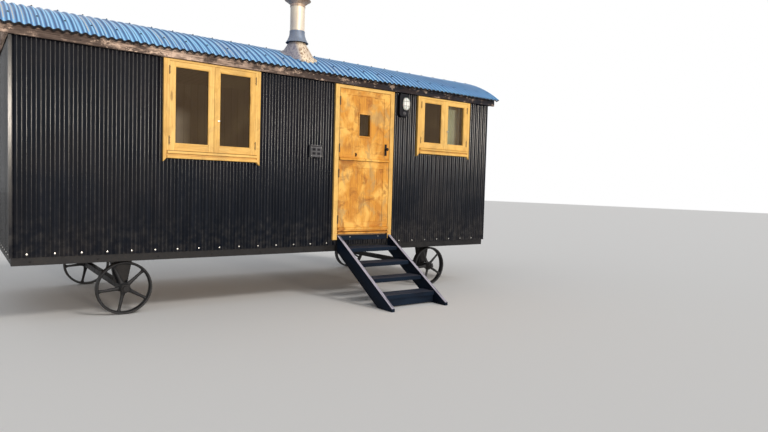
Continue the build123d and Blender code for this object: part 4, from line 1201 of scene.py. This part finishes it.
class HUT_OT_wall_fittings(HutOperator):
    """Caged lamp with its sensor, and the weatherproof socket"""

    bl_idname = "hut.wall_fittings"
    bl_label = "Wall fittings"

    def lamp(self):
        """Body, bezel, ribbed dome and wire cage.

        The dome's outline is a superellipse; scaled by t from rim to middle it rises as (1 - t^4)^0.5."""
        eased("lamp_body", 0.006)
        low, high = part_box("lamp_lens")
        middle_x, middle_z, base = (low.x + high.x) / 2 + 0.006, (low.z + high.z) / 2, high.y
        width, height, depth = (high.x - low.x) / 2, (high.z - low.z) / 2, high.y - low.y - 0.007
        turn = np.linspace(0, 2 * pi, 72, endpoint=False)
        across = width * np.sign(np.cos(turn)) * np.abs(np.cos(turn)) ** 0.8
        up = height * np.sign(np.sin(turn)) * np.abs(np.sin(turn)) ** 0.8

        def dome_y(scale, lift=0.0):
            return base - depth * np.sqrt(1 - scale**4) - lift

        scale = np.concatenate([[1.0], np.cos(np.linspace(0, pi / 2, 15)) ** 0.6])[:, None]
        y = dome_y(scale)
        y[0] = base + 0.004
        points = facing("Z", (scale * across, y, scale * up), (middle_x, 0, middle_z))
        turned("lamp_dome", (points, grid_faces(16, 72, closed_columns=True)), "lamp_glass",
               replaces=("lamp_lens",), smooth=60.0)
        rim = facing("Z", (1.03 * across, base - 0.003, 1.03 * up), (middle_x, 0, middle_z))
        parts = [rod(np.concatenate([rim, rim[:2]]), 0.0032, 10)]
        bars = [(x, np.linspace(-1, 1, 25) * height * 0.99) for x in (-0.018, 0.018)]
        bars += [(np.linspace(-1, 1, 21) * width * 0.97, z) for z in (-0.030, 0.030)]
        for x, z in bars:
            y = dome_y(np.clip(np.hypot(x / width, z / height), 0, 1), 0.0030)
            parts.append(rod(facing("Z", (x, y, z), (middle_x, 0, middle_z)), 0.0018, 8))
        turned("lamp_cage", joined(parts), "black_iron")
        low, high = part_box("lamp_body")
        eye = [(0, 0.024), (0.008, 0.0228), (0.014, 0.019), (0.018, 0.012), (0.0195, 0.004), (0.024, 0.003),
               (0.025, 0.0), (0, -0.001)]
        spot = ((low.x + high.x) / 2, low.y, low.z + 0.044)
        turned("lamp_sensor", copies(lathe(eye, turns=32), [(spot, TO_FRONT)]), "grey_plastic", "black_iron")
        inset = 0.018
        corners = [(x, z) for x in (low.x + inset, high.x - inset) for z in (low.z + inset, high.z - inset)]
        places = [((x, low.y, z), TO_FRONT) for x, z in corners]
        screws("lamp_screws", places, 0.0045, 0.002, "black_iron")

    def socket(self):
        """Back box, raised cover with four sunk fields, the ledge and pin over it, its catch and a gland."""
        low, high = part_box("socket_box")
        front, cover = low.y, low.y + 0.016
        boards = [
            ((low.x, cover, low.z), (high.x, high.y, high.z), "Z"),
            ((low.x + 0.006, front + 0.002, low.z + 0.008), (high.x - 0.006, cover, high.z - 0.020), "Z"),
            ((low.x + 0.002, front, high.z - 0.014), (high.x - 0.002, front + 0.020, high.z - 0.002), "X"),
            ((low.x + 0.055, front + 0.001, low.z + 0.002), (high.x - 0.055, front + 0.010, low.z + 0.014),
             "X"),
        ]
        boarded("socket_case", boards, 61, "grey_plastic", bevel=0.003, replaces=("socket_box",))
        boards = [
            ((x, front + 0.0004, z), (x + 0.044, front + 0.004, z + 0.030), "Z")
            for x in (low.x + 0.024, high.x - 0.068) for z in (low.z + 0.028, high.z - 0.070)
        ]
        boarded("socket_recesses", boards, 63, "black_iron", "grey_plastic", bevel=0.0012)
        pin_y, pin_z, inset = front + 0.010, high.z - 0.0175, 0.012
        path = np.linspace((low.x + inset, pin_y, pin_z), (high.x - inset, pin_y, pin_z), 5)
        gland = [(0, 0.0), (0.009, 0.0), (0.011, 0.003), (0.011, 0.012), (0.008, 0.013), (0.008, 0.018),
                 (0, 0.018)]
        spot = ((low.x + high.x) / 2, (low.y + high.y) / 2 + 0.008, low.z - 0.017)
        turned("socket_fittings", joined([rod(path, 0.0035), lathe(gland, spot, 20)]), "black_iron",
               "grey_plastic")
        places = [((x, front + 0.002, z), TO_FRONT) for x in (low.x + 0.013, high.x - 0.013)
                  for z in (low.z + 0.015, high.z - 0.030)]
        screws("socket_screws", places, 0.004, 0.0018, "screw_steel", "grey_plastic")

    def execute(self, context):
        self.lamp()
        self.socket()
        return {"FINISHED"}


class HUT_OT_inside(HutOperator):
    """Gathered curtain on its rod, and the floor's boards"""

    bl_idname = "hut.inside"
    bl_label = "Inside"

    def curtain(self):
        """Cloth gathered into folds: out = A(v) sin(2 pi n u + wander), A growing from head to hem."""
        look = self.look
        low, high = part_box("curtain")
        width, height, middle = high.x - low.x + look.curtain_proud, high.z - low.z, (low.y + high.y) / 2
        u, v = np.meshgrid(np.linspace(0, 1, 241), np.linspace(0, 1, 81))
        wander = 0.4 * np.sin(2 * pi * u + 1.0) + 0.35 * v * np.sin(6 * pi * u)
        deep = (0.0052 + 0.0038 * v) * (0.85 + 0.15 * np.sin(5 * pi * u + 2 * v))
        phase = 2 * pi * look.curtain_folds * u + wander + 4.4
        out = deep * np.sin(phase) + 0.0016 * v * np.sin(2 * phase)
        x = np.clip(low.x + width * (u + 0.006 * v * np.sin(phase * 0.5)), low.x, low.x + width)
        z = high.z - height * v - 0.002 * np.sin(phase) * v
        points = np.stack([x, middle + out, z], -1)
        mesh = fill("curtain_cloth", points.reshape(-1, 3), grid_faces(*u.shape))
        run = np.cumsum(np.linalg.norm(np.diff(points, axis=1, prepend=points[:, :1]), axis=2), 1)
        mark(mesh, "weave", np.stack([run, height * v, 0 * v], -1), "FLOAT_VECTOR")
        thing = piece("curtain_cloth", mesh, "curtain_cloth", replaces=("curtain",), thickness=0.0006,
                      smooth=80.0)
        rod_low, rod_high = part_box("curtain_rod")
        rail = (rod_low.z + rod_high.z) / 2
        rings = [ring((x, middle, rail - 0.0035), 0.0110, 0.0013, "X", 24, 8)
                 for x in np.linspace(low.x + 0.018, high.x - 0.018, look.curtain_folds + 1)]
        loops = turned("curtain_rings", joined(rings), "black_iron")
        eased("curtain_rod", 0.0008)
        knob = [(0, 0.016), (0.006, 0.0145), (0.009, 0.009), (0.007, 0.004), (0.0045, 0.001), (0.0070, 0.0),
                (0, -0.001)]
        ends = [((rod_low.x, middle, rail), (-1, 0, 0)), ((rod_high.x, middle, rail), (1, 0, 0))]
        turned("rod_ends", copies(lathe(knob, turns=20), ends), "black_iron")

    def execute(self, context):
        self.curtain()
        low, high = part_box("floor")
        edges, joint, plank = np.linspace(low.y, high.y, 19), 0.0008, 0.022
        boards = [((low.x, near + joint, high.z - plank), (high.x, far - joint, high.z), "X")
                  for near, far in zip(edges[:-1], edges[1:])]
        boards.append(((low.x, low.y, low.z), (high.x, high.y, high.z - plank - 0.001), "X"))
        boarded("floor_planks", boards, 71, "floor_boards", bevel=0.001, replaces=("floor",))
        return {"FINISHED"}


class HUT_OT_frame_finishes(HutOperator):
    """Finishes on the frame's own nodes"""

    bl_idname = "hut.frame_finishes"
    bl_label = "Frame finishes"

    def execute(self, context):
        for name, node in NODES.items():
            node.data.materials.clear()
            node.data.materials.append(PAINTS[SLOTS[name]].material)
        return {"FINISHED"}


class HUT_OT_stage(HutOperator):
    """Pale floor, soft light and the camera"""

    bl_idname = "hut.stage"
    bl_label = "Stage"

    def sun(self, name, turn, tilt, energy, angle, tint):
        """A soft distant light, turned about the hut and tilted from the zenith."""
        lamp = bpy.data.lights.new(name, "SUN")
        lamp.energy, lamp.angle, lamp.color = energy, radians(angle), tint
        thing = bpy.data.objects.new(name, lamp)
        thing.matrix_world = Matrix.Rotation(radians(turn), 4, "Z") @ Matrix.Rotation(radians(tilt), 4, "X")
        bpy.context.scene.collection.objects.link(thing)

    def world(self):
        """Soft light on the hut, and plain white to the camera, to glossy and to transmission rays."""
        world = bpy.data.worlds.new("studio")
        bpy.context.scene.world = world
        world.use_nodes = True
        tree = world.node_tree
        light = tree.nodes["Background"]
        light.inputs["Color"].default_value = (0.93, 0.96, 1.0, 1)
        light.inputs["Strength"].default_value = 0.42
        back = tree.nodes.new("ShaderNodeBackground")
        back.inputs["Color"].default_value = (1, 1, 1, 1)
        path = tree.nodes.new("ShaderNodeLightPath")
        seen = path.outputs["Is Camera Ray"]
        for name in ("Is Glossy Ray", "Is Transmission Ray"):
            more = tree.nodes.new("ShaderNodeMath")
            more.operation = "MAXIMUM"
            tree.links.new(seen, more.inputs[0])
            tree.links.new(path.outputs[name], more.inputs[1])
            seen = more.outputs[0]
        pick = tree.nodes.new("ShaderNodeMixShader")
        for index, output in enumerate((seen, light.outputs[0], back.outputs[0])):
            tree.links.new(output, pick.inputs[index])
        tree.links.new(pick.outputs[0], tree.nodes["World Output"].inputs[0])

    def execute(self, context):
        scene, shot = bpy.context.scene, bpy.context.scene.hut_camera
        points = np.array([[x, y, 0] for y in (-60.0, 60.0) for x in (-60.0, 60.0)])
        floor = bpy.data.objects.new("stage_floor", fill("stage_floor", points, grid_faces(2, 2)))
        pale = Paint("stage_floor", base_color=(shot.floor_tone,) * 3, roughness=0.9)
        floor.data.materials.append(pale.material)
        scene.collection.objects.link(floor)
        self.world()
        self.sun("key", 26, 46, 0.9, 14, (1.0, 0.95, 0.88))
        self.sun("low", 1, 84.5, 2.1, 6, (1.0, 0.89, 0.76))
        view = bpy.data.cameras.new("camera")
        view.sensor_width = 36
        view.lens = view.sensor_width * shot.focal_pixels / 768
        camera = bpy.data.objects.new("camera", view)
        turn = Matrix.Rotation(-shot.yaw, 4, "Z") @ Matrix.Rotation(pi / 2 - shot.pitch, 4, "X")
        camera.matrix_world = Matrix.Translation(shot.place) @ turn @ Matrix.Rotation(shot.roll, 4, "Z")
        scene.collection.objects.link(camera)
        scene.camera = camera
        scene.view_settings.view_transform = "Standard"
        return {"FINISHED"}


OPERATORS = [
    HUT_OT_stage, HUT_OT_frame_finishes, HUT_OT_wall_sheets, HUT_OT_roof, HUT_OT_windows, HUT_OT_door,
    HUT_OT_steps, HUT_OT_flue, HUT_OT_running_gear, HUT_OT_wall_fittings, HUT_OT_inside,
]


class HUT_PT_panel(Panel):
    """Buttons for the hut's pieces, and their settings"""

    bl_label = "Shepherds Hut"
    bl_space_type = "VIEW_3D"
    bl_region_type = "UI"
    bl_category = "Shepherds Hut"

    def draw(self, context):
        for operator in OPERATORS:
            self.layout.operator(operator.bl_idname)
        for settings in (context.scene.hut_look, context.scene.hut_camera):
            for name in settings.bl_rna.properties.keys()[2:]:
                self.layout.prop(settings, name)


CLASSES = [HutLook, CameraLook, *OPERATORS, HUT_PT_panel]


def register():
    for cls in CLASSES:
        bpy.utils.register_class(cls)
    bpy.types.Scene.hut_look = PointerProperty(type=HutLook)
    bpy.types.Scene.hut_camera = PointerProperty(type=CameraLook)


def unregister():
    del bpy.types.Scene.hut_look, bpy.types.Scene.hut_camera
    for cls in reversed(CLASSES):
        bpy.utils.unregister_class(cls)


def main():
    """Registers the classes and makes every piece."""
    register()
    make_paints(bpy.context.scene.hut_look)
    for operator in OPERATORS:
        group, action = operator.bl_idname.split(".")
        getattr(getattr(bpy.ops, group), action)()


if __name__ == "__main__":
    main()
